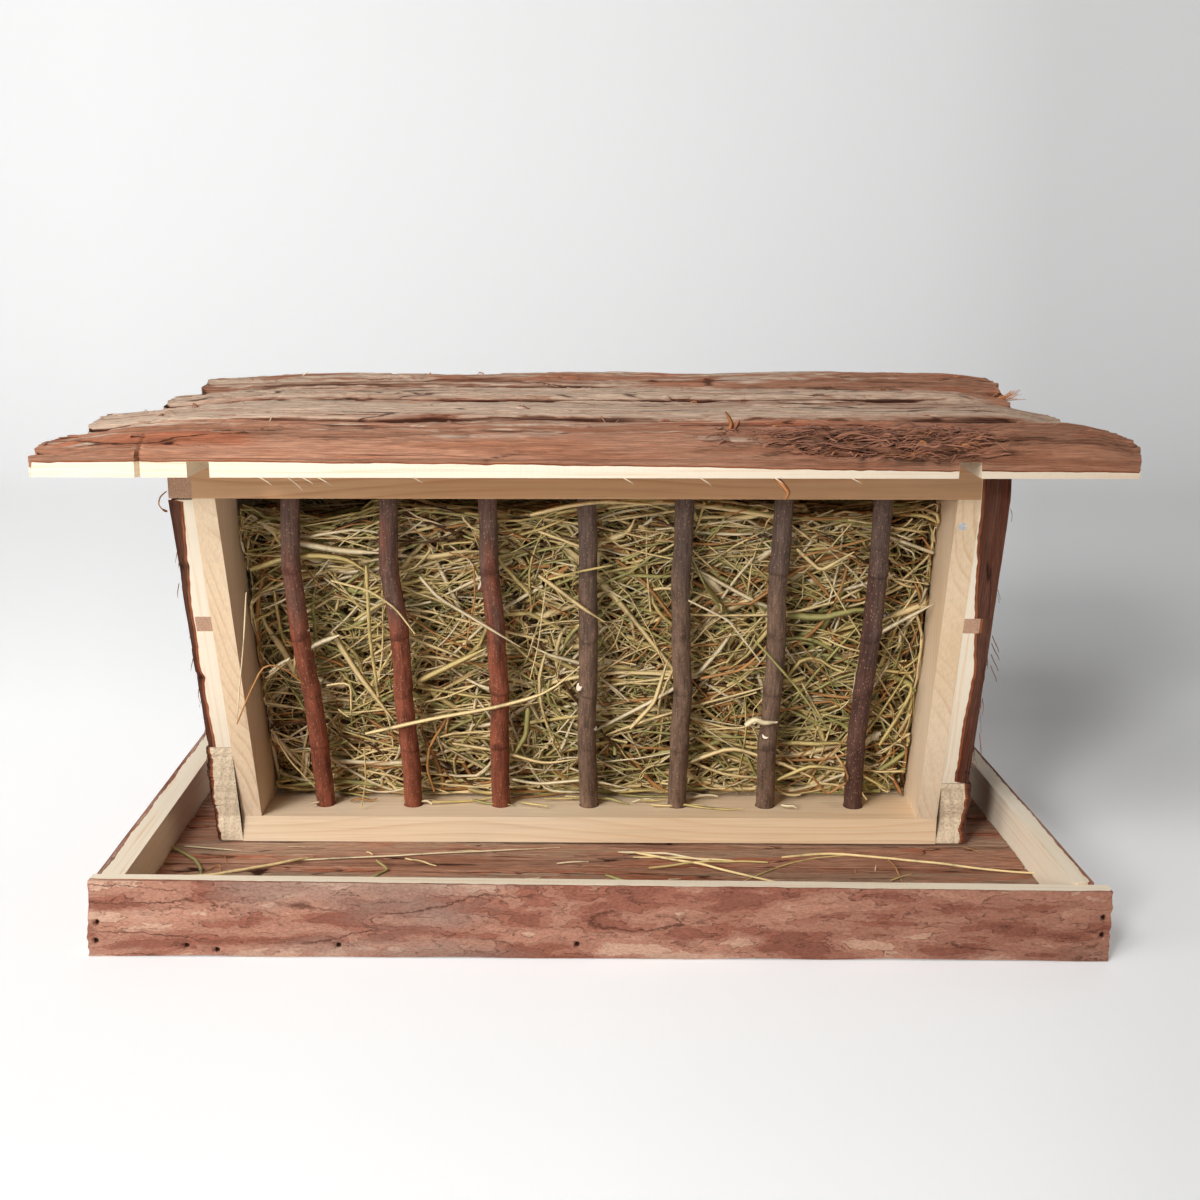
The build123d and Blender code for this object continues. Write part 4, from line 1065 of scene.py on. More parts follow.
class HAYFEEDER_OT_shreds(bpy.types.Operator):
    """Makes the frayed fibres, splinters and curls of bark and wood on the roof and the side panels"""
    bl_idname = "hay_feeder.shreds"
    bl_label = "Shreds and splinters"

    def execute(self, context):
        rng = np.random.default_rng(77)
        tones = SHRED_TONES
        parts = []
        for count, x0, x1, y0, y1, longest, tone in SHREDS:
            middle = np.stack([rng.uniform(x0, x1, count), rng.uniform(y0, y1, count)], axis=1) * MM
            ground = np.array([roof_height(x, y) for x, y in middle])
            long = longest * MM * rng.uniform(0.35, 1.0, count)
            turn = rng.normal(0, 0.45, count)
            way = np.stack([np.cos(turn), np.sin(turn) * 0.6, rng.uniform(-0.12, 0.20, count)], axis=1)
            lifted = rng.uniform(0.0, 2.0, count) * MM
            ways = []
            for share in (-0.5, -0.2, 0.1, 0.35, 0.5):
                point = np.concatenate([middle, ground[:, None]], axis=1) + way * (long * share)[:, None]
                point[:, 2] += lifted * (1 - 4 * share * share) - 0.4 * MM
                ways.append(point + rng.normal(0, 0.8 * MM, (count, 3)))
            lines = smooth_lines(np.stack(ways, axis=1), 9)
            wide = np.clip(rng.lognormal(math.log(1.0), 0.5, count), 0.4, 3.2) * MM
            taper = np.interp(np.linspace(0, 1, 9), (0, 0.3, 0.7, 1), (0.2, 1, 0.9, 0.12))
            facing = (np.array([0, -0.5, 1.0]) + rng.normal(0, 0.4, (count, 3)))[:, None, :]
            leaf = leaf_mesh(lines, wide[:, None] * taper[None], facing, rng.uniform(0.1, 0.5, count))
            parts.append((*leaf, np.full(count, tones.index(tone))))
        # frayed ends of the third slab, stub and splinters on the front slabs
        for _ in range(26):
            x, y = rng.uniform(279, 288), rng.uniform(36, 66)
            rise, out = rng.uniform(1, 9), rng.uniform(4, 15)
            z = roof_height(0.278, y * MM) / MM
            points = [(x - 12, y, z - 3), (x - 2, y - 2, z - 1.5), (x + out * 0.5, y - 3, z + rise * 0.3 - 1),
                      (x + out, y - 4 + rng.normal(0, 2), z + rise - 2)]
            parts.append(strand(np.array(points) * MM, rng.uniform(0.3, 0.8) * MM, False, "bark_fibre_orange", tones))
        single = (
            ("bark_fibre_orange", 2.6, True, ((82, -152, 0), (83, -153, 4), (81, -154, 8), (79, -155, 12))),
            ("bark_fibre_brown", 3.0, True, ((84, -150, 0), (86, -152, 4), (87, -154, 7))),
            ("bark_fibre_brown", 1.1, False, ((-6, -8, 1.2), (4, -50, 1.0), (14, -92, 1.2), (20, -120, 2.0))),
            ("bark_fibre_brown", 1.8, True, ((-308, -158, -2), (-305, -157, 0), (-302, -156, 2))),
            ("bark_fibre_brown", 2.4, True, ((276, -8, -2), (288, -10, -1), (302, -12, -1), (309, -12, 0))),
            ("wood_fibre", 0.6, False, ((-196, -74, 0.3), (-195, -73, 1.8))),
            ("wood_fibre", 0.9, False, ((-216, 120, 0.5), (-212, 121, 3))),
        )
        for tone, width, flat, points in single:
            ways = [(x * MM, y * MM, roof_height(x * MM, y * MM) + z * MM) for x, y, z in points]
            parts.append(strand(ways, width * MM, flat, tone, tones, facing=(0.2, -1.0, 0.4)))
        # thin curls left by the saw along the front slab's lower edge: x, reach, drop, in mm
        for x, reach, drop in ((-182, 9, 4), (-168, 12, 7), (-158, 8, 3), (-150, 10, 4), (-96, 7, 2.5), (20, 8, 3),
                               (62, 9, 4), (104, 7, 3), (146, 8, 2.5)):
            points = [(x, -171, 286.5), (x + reach * 0.4, -173.5, 285), (x + reach * 0.8, -173, 284.6 - drop * 0.5),
                      (x + reach, -172, 284.8 - drop)]
            parts.append(strand(np.array(points) * MM, 0.7 * MM, True, "wood_fibre", tones))
        parts.append(strand(np.array([(106, -168, 286), (110, -172, 282), (114, -172, 277), (112, -170, 273)]) * MM,
                            3.2 * MM, True, "bark_fibre_orange", tones))
        bundle("roof_shreds", parts, "roof", tones)

        parts = []
        curl = [(-249, -117, 269), (-252.5, -119, 266), (-253.5, -120, 262), (-251.5, -119, 258), (-249.5, -117, 257)]
        parts.append(strand(np.array(curl) * MM, 4.0 * MM, True, "bark_fibre_orange", tones, facing=(-1, -0.4, 0.2)))
        for z, reach in ((176, 7), (171, 9), (164, 8), (157, 6)):
            points = [(252, -93, z), (253.5, -95, z - 4), (254 + reach * 0.15, -96, z - 7),
                      (254 + reach * 0.3, -96, z - 10)]
            parts.append(strand(np.array(points) * MM, 0.6 * MM, False, "bark_fibre_dark", tones))
        for count, side in ((70, LEFT), (80, RIGHT)):
            for _ in range(count):
                z = rng.uniform(70, 262)
                y = -post_distance(z * MM) / MM * rng.uniform(0.55, 0.97)
                x = side * (234 + (18 if side == LEFT else 21) - rng.uniform(0.5, 4.5))
                long = rng.uniform(4, 16)
                points = [(x, y, z), (x + side * 1.2, y, z - long * 0.5),
                          (x + side * rng.uniform(0, 2.2), y - 1, z - long)]
                parts.append(strand(np.array(points) * MM, rng.uniform(0.8, 3.0) * MM, True,
                                    rng.choice(["bark_fibre_dark", "bark_fibre_brown"], p=[0.7, 0.3]), tones,
                                    facing=(side, -0.4, 0.1), stations=7))
        bundle("panel_shreds", parts, "root", tones)
        return {"FINISHED"}


# ------------------------------------------------------------------ tray
# brads driven below the bark of the front board: x and z in mm
BRAD_HOLES = ((-289, 22), (-290, 10), (-236, 7), (-218, 4), (-146, 8), (-5, 10), (303, 30), (303, 19))


class HAYFEEDER_OT_tray(bpy.types.Operator):
    """Makes the tray's bark edging boards and bark floor planks"""
    bl_idname = "hay_feeder.tray"
    bl_label = "Tray boards and floor"

    def execute(self, context):
        sizes = settings("bark")
        low, high = box("tray_front_board")
        foot, top_edge, crest = 12 * MM, 9.5 * MM, high[1] - low[1]
        right_height = 43.5 * MM

        # brad holes sunk 1.6 mm; their low relief makes the bark material paint them very dark as shade in the holes
        def holes(along, across, start=low[0]):
            depth = np.zeros_like(along)
            for x, z in BRAD_HOLES:
                away = np.hypot(along - (x * MM - start), (across - z * MM) * 0.8) / (1.7 * MM)
                depth = np.maximum(depth, np.exp(-away ** 4))
            return -1.6 * MM * depth, 1 - depth
        corners = [(low[0], high[1], low[2]), (low[0] + 2.5 * MM, high[1], high[2]),
                   (high[0], high[1], low[2]), (high[0], high[1], low[2] + right_height)]
        # painted shade darkens the front board's bark towards its right end, for the light falling off
        bark_slab("tray_bark_front", flat_between(corners), (0, -1, 0), (foot, top_edge), crest, sizes.board_relief,
                  103, "root", "tray_board", replaces=("tray_front_board",), wane=(0.7, 0.08), straight=0.6,
                  wood_shares=(0.7, (0.72, 0.84, 0.9, 0.9)), end_share=0.7, ragged=1.6, waviness=0.6, marks=holes,
                  roundness=3.0, rim_share=0.5, falloff_shade_along=(0.0, 0.0, 0.0, 0.2, 0.42))
        low, high = box("tray_back_board")
        corners = [(x, low[1], z) for x in (high[0], low[0]) for z in (low[2], high[2])]
        bark_slab("tray_bark_back", flat_between(corners), (0, 1, 0), (foot, top_edge), crest, sizes.board_relief,
                  117, "root", "tray_board", replaces=("tray_back_board",), wane=(0.7, 0.1), straight=0.6,
                  wood_shares=(0.7, 0.86), waviness=0.6, roundness=3.0, rim_share=0.5)
        front_y, back_y = box("tray_left_board")[0][1], box("tray_left_board")[1][1]
        depth = back_y - front_y
        for side, edge, full in ((LEFT, 17 * MM, 19 * MM), (RIGHT, 12 * MM, 15 * MM)):
            name = SIDE_NAMES[side]
            low, high = box(f"tray_{name}_board")
            x_front, x_back = tray_inner(side)
            # from back to front at the left and from front to back at the right, so that its bark looks outwards
            first, last = ((x_front, front_y), (x_back, back_y))[::side]
            corners = [(*end, z) for end in (first, last) for z in (low[2], high[2])]
            out = np.array([side * depth, side * (x_front - x_back), 0.0])
            bark_slab(f"tray_bark_{name}", flat_between(corners), out / np.linalg.norm(out), (edge, edge), full,
                      sizes.board_relief, 131 + side * 3, "root", "tray_board", replaces=(f"tray_{name}_board",),
                      wane=(0.5, 0.2), wood_shares=(0.8, 0.84), straight=0.6, ragged=0.0, inner=0.6)
        (left_front, left_back), (right_front, right_back) = tray_inner(LEFT), tray_inner(RIGHT)
        for number in ROW:
            low, high = box(f"floor_plank_{number}")
            shares = [(y - front_y) / depth for y in (low[1], high[1])]
            lefts = [left_front + (left_back - left_front) * share for share in shares]
            rights = [right_front + (right_back - right_front) * share for share in shares]
            corners = [(x, y, low[2]) for ends in (lefts, rights) for x, y in zip(ends, (low[1], high[1]))]
            # painted shade darkens each floor plank towards its right end, for the light falling off
            bark_slab(f"floor_bark_plank_{number}", flat_between(corners), (0, 0, 1), (8 * MM, 8 * MM),
                      high[2] - low[2], sizes.floor_relief, 150 + 9 * number, "root", "floor_plank",
                      replaces=(f"floor_plank_{number}",), bark="floor_bark_fibrous", pattern="fibrous",
                      wane=(0.7, 0.7), ragged=0.5, roundness=4.0, waviness=0.5, worn=(0.1, 0.5),
                      falloff_shade_along=(0.0, 0.1, 0.2, 0.35, 0.4))
        return {"FINISHED"}


# ------------------------------------------------------------------ side panels
class HAYFEEDER_OT_panels(bpy.types.Operator):
    """Makes the bark slabs of the two side panels"""
    bl_idname = "hay_feeder.panels"
    bl_label = "Side panel slabs"

    def execute(self, context):
        sizes = settings("bark")
        (y0, z0), (y1, z1) = lean_line()
        lean = math.atan2(y1 - y0, z1 - z0)
        slab_reach = 60 * MM / math.cos(lean)
        for side in (LEFT, RIGHT):
            name = SIDE_NAMES[side]
            left = side == LEFT
            slab_edge, slab_crest = (15 * MM, 18 * MM) if left else (18 * MM, 21 * MM)
            foot_edge = 17 * MM if left else 20 * MM
            bark = dict(bark="panel_bark_fibrous", pattern="fibrous", rim_share=0.75, inner=1.7)
            low, high = box(f"lower_board_{name}")
            inner = high[0] if left else low[0]
            bottom, top = low[2], high[2]

            def across_foot(across, along, inner=inner, bottom=bottom, top=top):
                z = bottom + (top - bottom) * across
                return np.stack([np.full_like(z, inner), post_distance(z) * (2 * along - 1), z], axis=-1)
            bark_slab(f"panel_foot_{name}", across_foot, (side, 0, 0), (foot_edge, foot_edge), high[0] - low[0],
                      sizes.panel_relief, 201 + side * 4, "root", "side_slab", replaces=(f"lower_board_{name}",),
                      wane=(0.3, 0.4), ragged=0.5, wood_shares=(0.8, 0.8), end_share=0.86 if left else 0.78,
                      worn=(0.1, 0.4), **bark)
            batten_low, batten_high = box(f"cross_batten_{name}")

            def groove(low, high):
                """The cut that a slab of that height has over the cross batten."""
                tall = high[2] - low[2]
                return ((batten_low[2] - low[2]) / tall, (batten_high[2] - low[2]) / tall,
                        batten_high[0] - batten_low[0])
            for facing in (FRONT, BACK):
                node = f"side_slab_{name}_{FACE_NAMES[facing]}"
                low, high = box(node)

                def leaning(across, along, inner=inner, facing=facing, low=low, high=high):
                    z = low[2] + (high[2] - low[2]) * along
                    outer = post_distance(z)
                    reach = np.minimum(slab_reach, outer - 0.5 * MM)
                    return np.stack([np.full_like(z, inner), facing * (outer - reach * across), z], axis=-1)
                shares = (0.70, 0.72, 0.72, 0.62, 0.36) if left else (0.46, 0.50, 0.58, 0.30, 0.04, 0.04)
                bark_slab(f"panel_slab_{name}_{FACE_NAMES[facing]}", leaning, (side, 0, 0), (slab_edge, slab_edge),
                          slab_crest, sizes.panel_relief, 230 + side * 5 + facing * 11, "root", "side_slab",
                          replaces=(node,), grooves=[groove(low, high)], wane=(0.25, 0.6), ragged=1.0, straight=0.7,
                          wood_shares=(shares, 0.7), roundness=3.0, waviness=1.6, worn=(0.1, 0.4),
                          droop=(0.0, 2.5), droop_reach=(20.0, 60.0), **bark)
            node = f"side_slab_{name}_middle"
            low, high = box(node)
            narrow = post_distance(np.array(low[2])) - slab_reach - 1 * MM
            wide = post_distance(np.array(high[2])) - slab_reach - 1 * MM

            def wedge(across, along, inner=inner, side=side, low=low, high=high, narrow=narrow, wide=wide):
                z = low[2] + (high[2] - low[2]) * along
                reach = narrow + (wide - narrow) * along
                return np.stack([np.full_like(z, inner), side * reach * (2 * across - 1), z], axis=-1)
            grooves = [cut for cut in [groove(low, high)] if cut[0] > 0.01]
            bark_slab(f"panel_slab_{name}_middle", wedge, (side, 0, 0), (slab_edge * 0.8, slab_edge * 0.8),
                      slab_edge, sizes.panel_relief * 0.7, 260 + side * 6, "root", "side_slab", replaces=(node,),
                      grooves=grooves, wane=(0.2, 0.2), ragged=1.0, roundness=3.0, worn=(0.1, 0.4), **bark)
        return {"FINISHED"}


# ------------------------------------------------------------------ planed timber
class HAYFEEDER_OT_timber(bpy.types.Operator):
    """Finishes the planed rails, posts, battens, cleats and bearers"""
    bl_idname = "hay_feeder.timber"
    bl_label = "Planed timber"

    def execute(self, context):
        turned = {
            "spruce_planed_lengthwise": ("bottom_rail", "roof_stop"),
            # the top rails and tie battens take the painted shade of the roof's overhang
            "spruce_planed_brown": ("top_rail", "tie_batten"),
            "spruce_planed_upright": ("post",),
            "spruce_planed_crosswise": ("cross_batten", "side_top_batten", "roof_cleat", "tray_bearer"),
        }
        for name, node in frame["nodes"].items():
            finish = next((each for each, kinds in turned.items() if name.startswith(kinds)), None)
            if finish:
                eased = node.modifiers.new("eased_edges", "BEVEL")
                eased.width = settings("wood").bevel
                eased.segments = 2
                eased.limit_method = "ANGLE"
                eased.harden_normals = False
            elif name.endswith("_nails"):
                finish = "nail_zinc"
            if finish:
                node.data.materials.clear()
                node.data.materials.append(material(finish))
        return {"FINISHED"}


# ------------------------------------------------------------------ bars
# shares of a bar's length at which it has a knot, and how far each bar lies to the right there, in mm
KNOT_PLACES = (0.22, 0.40, 0.58, 0.78)
BAR_BENDS = (
    (0.0, -1.0, -4.0, -4.6), (0.6, -1.2, 0.0, -3.0), (1.0, 2.0, 1.2, -0.8), (-1.2, -0.6, 1.0, 0.8),
    (0.8, 1.6, -0.6, -1.4), (-1.0, 0.6, 0.4, -1.2), (-2.4, -1.4, 0.9, 0.4),
)
BAR_BARKS = ("red", "red", "red", "grey", "grey", "grey", "dark")
# bar, place up the bar, way it points, radius and length in mm
BAR_STUBS = ((2, 0.71, 200, 2.6, 3.0), (3, 0.40, 215, 3.4, 2.0), (0, 0.58, 20, 2.0, 1.2), (5, 0.24, 250, 2.6, 1.6),
             (1, 0.40, 190, 2.0, 1.2), (6, 0.76, 340, 2.2, 1.4), (3, 0.26, 330, 2.4, 1.4))


class HAYFEEDER_OT_bars(bpy.types.Operator):
    """Makes the crooked twig bars, with their knots and cut side shoots"""
    bl_idname = "hay_feeder.bars"
    bl_label = "Twig bars"

    def execute(self, context):
        sizes = settings("twigs")
        (y0, z0), (y1, z1) = lean_line()
        lean = math.atan2(y1 - y0, z1 - z0)
        stations, sides = 210, 30
        for facing in (FRONT, BACK):
            for number, x in enumerate(bar_places()):
                node = f"twig_{FACE_NAMES[facing]}_{number + 1}"
                low, high = box(node)
                order = number if facing == FRONT else 6 - number
                seed = 300 + number + (20 if facing == BACK else 0)
                rng = np.random.default_rng(seed)
                z = np.linspace(low[2] + 2 * MM, high[2] - 2 * MM, stations)
                share = (z - z0) / (z1 - z0)
                bend = np.interp(share, (0, *KNOT_PLACES, 1), (0, *BAR_BENDS[order], 0)) * MM
                # the bends eased over nine stations
                kernel = np.hanning(9) / np.hanning(9).sum()
                bend = np.convolve(np.pad(bend, 4, mode="edge"), kernel, mode="valid")
                inside = np.clip(share * 8, 0, 1) * np.clip((1 - share) * 8, 0, 1)
                sway = 0.7 * MM * wander(z / 0.03, 0.5, seed) * inside
                middle = np.stack([x + bend + sway, facing * (y0 + (y1 - y0) * share) + sway * 0.5, z], axis=1)
                angle = np.arange(sides) * 2 * np.pi / sides
                s, a = np.meshgrid(share, angle, indexing="ij")
                swell, scar = np.zeros_like(s), np.zeros_like(s)
                for place in KNOT_PLACES:
                    strength, turn = rng.uniform(0.35, 1.1), rng.uniform(0, 2 * np.pi)
                    tilted = s - place - 0.006 * np.cos(a - turn - 1.0)
                    one_side = 0.3 + 0.7 * np.clip(np.cos(a - turn), 0, 1) ** 2
                    swell += strength * one_side * np.exp(-(tilted / 0.017) ** 2)
                    scar += 0.7 * strength * np.exp(-((tilted + 0.012) / 0.004) ** 2)
                    scar += 0.8 * np.exp(-(tilted / 0.010) ** 2 - ((np.angle(np.exp(1j * (a - turn)))) / 0.45) ** 2)
                radius = (sizes.foot_radius + (sizes.head_radius - sizes.foot_radius) * s + sizes.knot_swell * swell
                          + 0.34 * MM * wander(s * 7, a * 0.9, seed + 3) + 0.22 * MM * wander(s * 40, a * 2.2, seed + 4)
                          + 0.10 * MM * wander(s * 110, a * 4.5, seed + 5))
                radius = np.minimum(radius, 6.5 * MM + sizes.knot_swell * 1.1 * swell)
                side = np.array([1.0, 0, 0])
                up = np.cross(np.array([0, facing * math.sin(lean), math.cos(lean)]), side)
                verts = (middle[:, None, :] + radius[..., None] * (np.cos(a)[..., None] * side
                                                                   + np.sin(a)[..., None] * up))
                grain = np.stack([s * (z1 - z0) + number, radius * np.cos(a), radius * np.sin(a)], axis=-1)
                young = np.clip((s - 0.55 + 0.25 * wander(s * 5, a * 0.7, seed + 6)) * 2.6, 0, 0.85)
                quads = grid_faces(stations, sides, closed=True)[:, ::-1]
                caps = [list(range(sides)), [(stations - 1) * sides + i for i in range(sides)][::-1]]
                bark = "twig_bark_" + BAR_BARKS[order]
                mesh = mesh_from(
                    f"bar_{FACE_NAMES[facing]}_{number + 1}", verts.reshape(-1, 3), quads, np.zeros(len(quads)),
                    caps, [1, 1], {"grain": grain.reshape(-1, 3), "relief": np.clip(scar, 0, 0.8).ravel(),
                                   "young": young.ravel()})
                place_piece(mesh.name, mesh, [bark, "spruce_cross_cut"], "root", (node,), sharp=60)
                for count, (which, place, turn, thick, tall) in enumerate(BAR_STUBS):
                    if which == order:
                        self.stub(f"{mesh.name}_shoot_{count}", middle, share, place, turn, thick, tall, facing, bark)
        return {"FINISHED"}

    def stub(self, name, middle, share, place, turn, thick, tall, facing, bark):
        """A cut side shoot at a knot."""
        turn = math.radians(turn)
        at = middle[np.argmin(np.abs(share - place))]
        way = np.array([math.cos(turn), facing * abs(math.sin(turn)), 0.45])
        way /= np.linalg.norm(way)
        side = np.cross(way, [0, 0, 1.0])
        side /= np.linalg.norm(side)
        up = np.cross(side, way)
        angle = np.arange(14) * 2 * np.pi / 14
        steps = [(3.2, 1.5), (5.2, 1.22), (5.6 + tall * 0.6, 1.02), (5.6 + tall, 0.90), (5.6 + tall, 0.55)]
        rings = [at + way * far * MM + (np.cos(angle)[:, None] * side + np.sin(angle)[:, None] * up) * thick * r * MM
                 for far, r in steps]
        verts = np.concatenate(rings)
        quads = grid_faces(len(steps), 14, closed=True)
        kinds = np.repeat([0, 0, 0, 1], 14)
        cap = [4 * 14 + i for i in range(14)]
        mesh = mesh_from(name, verts, quads, kinds, [cap], [1],
                         {"grain": verts, "relief": np.full(len(verts), 0.15), "young": np.full(len(verts), 0.2)})
        place_piece(mesh.name, mesh, [bark, "spruce_sawn"], "root", (), sharp=50)


# ------------------------------------------------------------------ hay
# share of the hay near each face of the rack
HAY_FACES = {"front": 0.46, "back": 0.36, "top": 0.18}
# its layers, deepest first: share of the stalks, how deep they lie behind the bars in mm, length, and tones; the deeper
# layers hold more brown and dark stalks as painted shade inside the rack
HAY_LAYERS = (
    (0.26, (15.0, 40.0), 0.9, (0.10, 0.02, 0.10, 0.16, 0.34, 0.28)),
    (0.54, (3.0, 22.0), 1.0, (0.30, 0.07, 0.17, 0.22, 0.17, 0.07)),
    (0.20, (0.0, 7.0), 1.15, (0.34, 0.16, 0.18, 0.22, 0.09, 0.01)),
)


def hay_top(x):
    """Height of the hay's top along the rack; it has sunk a little towards the left end."""
    floor = box("bottom_rail_front")[1][2]
    full = box("hay_fill")[1][2] - floor
    return floor + full * (1.02 - 0.10 * np.exp(-((x + 0.165) / 0.03) ** 2) + 0.03 * np.sin(x * 31.0))


def hay_ways(rng, count, face, longest, deep_from, deep_to):
    """Way points of stalks near one face of the hay: front, back or top. (count, 5, 3)."""
    low, high = box("hay_fill")
    reach = high[0] - 3 * MM
    floor = low[2] + 1.5 * MM
    long = longest * np.clip(rng.lognormal(0.0, 0.55, count), 0.22, 2.6)
    x = rng.uniform(-reach, reach, count)
    top = hay_top(x)
    z = floor + (top - floor) * rng.beta(1.0, 1.0, count)
    # three in ten lie nearly level, four in ten slant, the rest lie anyhow
    kind = rng.random(count)
    tilt = np.where(kind < 0.30, rng.normal(0, 0.20, count), np.where(
        kind < 0.72, rng.choice([-1, 1], count) * rng.normal(0.66, 0.30, count), rng.uniform(-1.57, 1.57, count)))
    heading = rng.choice([-1, 1], count)
    deep = rng.uniform(deep_from, deep_to, count) * MM
    if face == "top":
        z = top - 26 * MM * rng.beta(1, 2, count)
        y = rng.uniform(-1, 1, count) * (bar_distance(z) - 12 * MM)
        spin = rng.uniform(-1.2, 1.2, count) + rng.choice([0, math.pi], count)
        way = np.stack([np.cos(spin), np.sin(spin), rng.normal(0, 0.15, count)], axis=1)
    else:
        y = np.zeros(count)
        way = np.stack([heading * np.cos(tilt), rng.normal(0, 0.18, count), np.sin(tilt)], axis=1)
    way /= np.linalg.norm(way, axis=1, keepdims=True)
    bow = np.cross(way, rng.normal(0, 1, (count, 3)))
    bow /= np.linalg.norm(bow, axis=1, keepdims=True) + 1e-9
    bend = long * rng.normal(0, 0.13, count)
    # one in four has a sharp bend
    sharp_bend = rng.random(count) < 0.25
    kink = rng.normal(0, 1, (count, 3)) * (long * np.where(sharp_bend, 0.16, 0.04))[:, None]
    middle = np.stack([x, y, z], axis=1)
    ways = []
    for share in (-0.5, -0.25, 0.0, 0.25, 0.5):
        point = middle + way * (long * share)[:, None] + bow * (bend * (1 - 4 * share * share))[:, None]
        ways.append(point + (kink if share == 0.25 else 0) - (kink * 0.5 if share == -0.25 else 0))
    ways = np.stack(ways, axis=1)
    # kept under the hay's top, between the posts and behind the bars
    lid = hay_top(ways[..., 0]) + 9 * MM * rng.beta(1, 3, count)[:, None]
    ways[..., 2] = np.clip(ways[..., 2], floor + 6 * MM * rng.random(count)[:, None], lid)
    ways[..., 0] = np.clip(ways[..., 0], -reach - 2 * MM, reach + 2 * MM)
    limit = bar_distance(ways[..., 2]) - 8.5 * MM - 4 * MM * rng.random(count)[:, None] ** 2
    if face == "top":
        ways[..., 1] = np.clip(ways[..., 1], -limit, limit)
    else:
        sign = -1 if face == "front" else 1
        ways[..., 1] = sign * (limit - np.minimum(deep[:, None] + np.abs(ways[..., 1]) * 0.8, limit * 0.9))
    return ways


def hay_facing(rng, count, face):
    """Way the leaves' flat side looks, mostly outwards."""
    outwards = {"front": (0, -1, 0.1), "back": (0, 1, 0.1), "top": (0, 0, 1)}[face]
    return (np.array(outwards) + rng.normal(0, 0.6, (count, 3)))[:, None, :]


def tones_for(rng, count, shares):
    return rng.choice(len(HAY_TONES), count, p=np.array(shares) / sum(shares))


# Straws that lie across the bars or stand out of the hay: tone, width, flat or round, how far before
# the bars' middle, then x and z of their way points, all in mm.
CROSSING_STRAWS = (
    ("pale", 2.4, True, 8.5, ((-104, 211), (-94, 197), (-69, 180), (-43, 162))),
    ("straw", 3.0, True, 8.5, ((-30, 212), (-22, 206), (-3, 190), (11, 180))),
    ("straw", 1.5, False, 8.0, ((-160, 208), (-136, 201), (-121, 189), (-110, 171))),
    ("olive", 4.2, True, -4.0, ((-213, 213), (-192, 220), (-175, 223), (-152, 221), (-137, 210))),
    ("pale", 4.6, True, -5.0, ((-181, 231), (-157, 226), (-129, 224))),
    ("pale", 4.0, True, 1.0, ((-182, 158), (-172, 163), (-160, 168))),
    ("pale", 2.6, True, 3.0, ((-208, 141), (-201, 147), (-193, 152))),
    ("pale", 1.2, False, 3.0, ((-211, 137), (-203, 143), (-194, 151))),
    ("olive", 2.6, False, -2.0, ((-139, 216), (-141, 167), (-139, 122))),
    ("straw", 4.2, True, -5.0, ((-166, 169), (-152, 139), (-131, 103))),
    ("straw", 1.4, False, 0.5, ((-172, 131), (-161, 133), (-156, 132), (-158, 105), (-166, 113))),
    ("olive", 4.4, True, -6.0, ((-113, 132), (-66, 157))),
    ("straw", 3.0, True, 8.5, ((-148, 97), (-102, 109), (-62, 117), (-26, 128), (-5, 148))),
    ("brown", 2.0, False, 1.0, ((-94, 106), (-107, 85), (-110, 67), (-106, 49))),
    ("green", 4.0, True, -4.0, ((-40, 113), (-42, 92), (-52, 74))),
    ("straw", 1.1, False, 0.5, ((-25, 211), (-32, 160), (-38, 136))),
    ("brown", 1.5, False, 0.5, ((-71, 218), (-71, 195), (-79, 159))),
    ("olive", 1.6, False, 8.0, ((-24, 209), (-7, 214), (16, 219))),
    ("straw", 2.8, True, 8.5, ((-34, 252), (-11, 258), (10, 261), (40, 259))),
    ("straw", 1.3, False, 1.0, ((-211, 92), (-202, 72), (-188, 52))),
    ("green", 1.6, False, 8.0, ((106, 168), (115, 158), (135, 134), (153, 109))),
    ("pale", 3.0, True, 1.0, ((186, 170), (203, 181), (219, 191))),
    ("olive", 2.6, True, 1.0, ((195, 87), (202, 102), (209, 118), (213, 131), (209, 135), (204, 128))),
    ("pale", 5.0, True, 8.0, ((104, 104), (110, 109), (117, 106), (125, 107))),
    ("straw", 3.0, True, -3.0, ((131, 228), (147, 213), (167, 226))),
    ("brown", 2.2, False, -3.0, ((74, 136), (100, 142), (108, 150), (116, 160))),
    ("brown", 1.5, False, -3.0, ((131, 222), (174, 234))),
    ("pale", 1.4, False, 3.0, ((60, 196), (90, 180), (112, 150))),
    ("straw", 3.2, True, -2.0, ((28, 98), (44, 118), (52, 150))),
    ("straw", 2.6, True, -2.0, ((-92, 86), (-60, 80), (-30, 70), (-8, 74))),
    ("straw", 3.4, True, -2.0, ((64, 70), (96, 84), (130, 72), (160, 56))),
    ("olive", 3.0, True, -1.0, ((128, 58), (150, 70), (180, 66), (206, 50))),
    ("pale", 2.4, True, -1.0, ((-60, 60), (-36, 54), (0, 58), (30, 50))),
    ("straw", 1.6, False, 2.0, ((166, 80), (178, 62), (190, 44))),
    ("brown", 1.8, False, 8.0, ((150, 66), (162, 50), (176, 62), (170, 76))),
    ("olive", 1.2, False, 12.0, ((-149, 88), (-150, 62), (-155, 40))),
)
# Straws in front of the left post: y, then as above.
POST_STRAWS = (
    ("pale", 1.0, ((-208, -106, 205), (-214, -96, 170), (-221, -86, 138), (-226, -78, 113))),
    ("brown", 1.3, ((-183, -72, 137), (-194, -80, 151), (-204, -88, 155), (-216, -83, 133), (-226, -78, 112))),
)
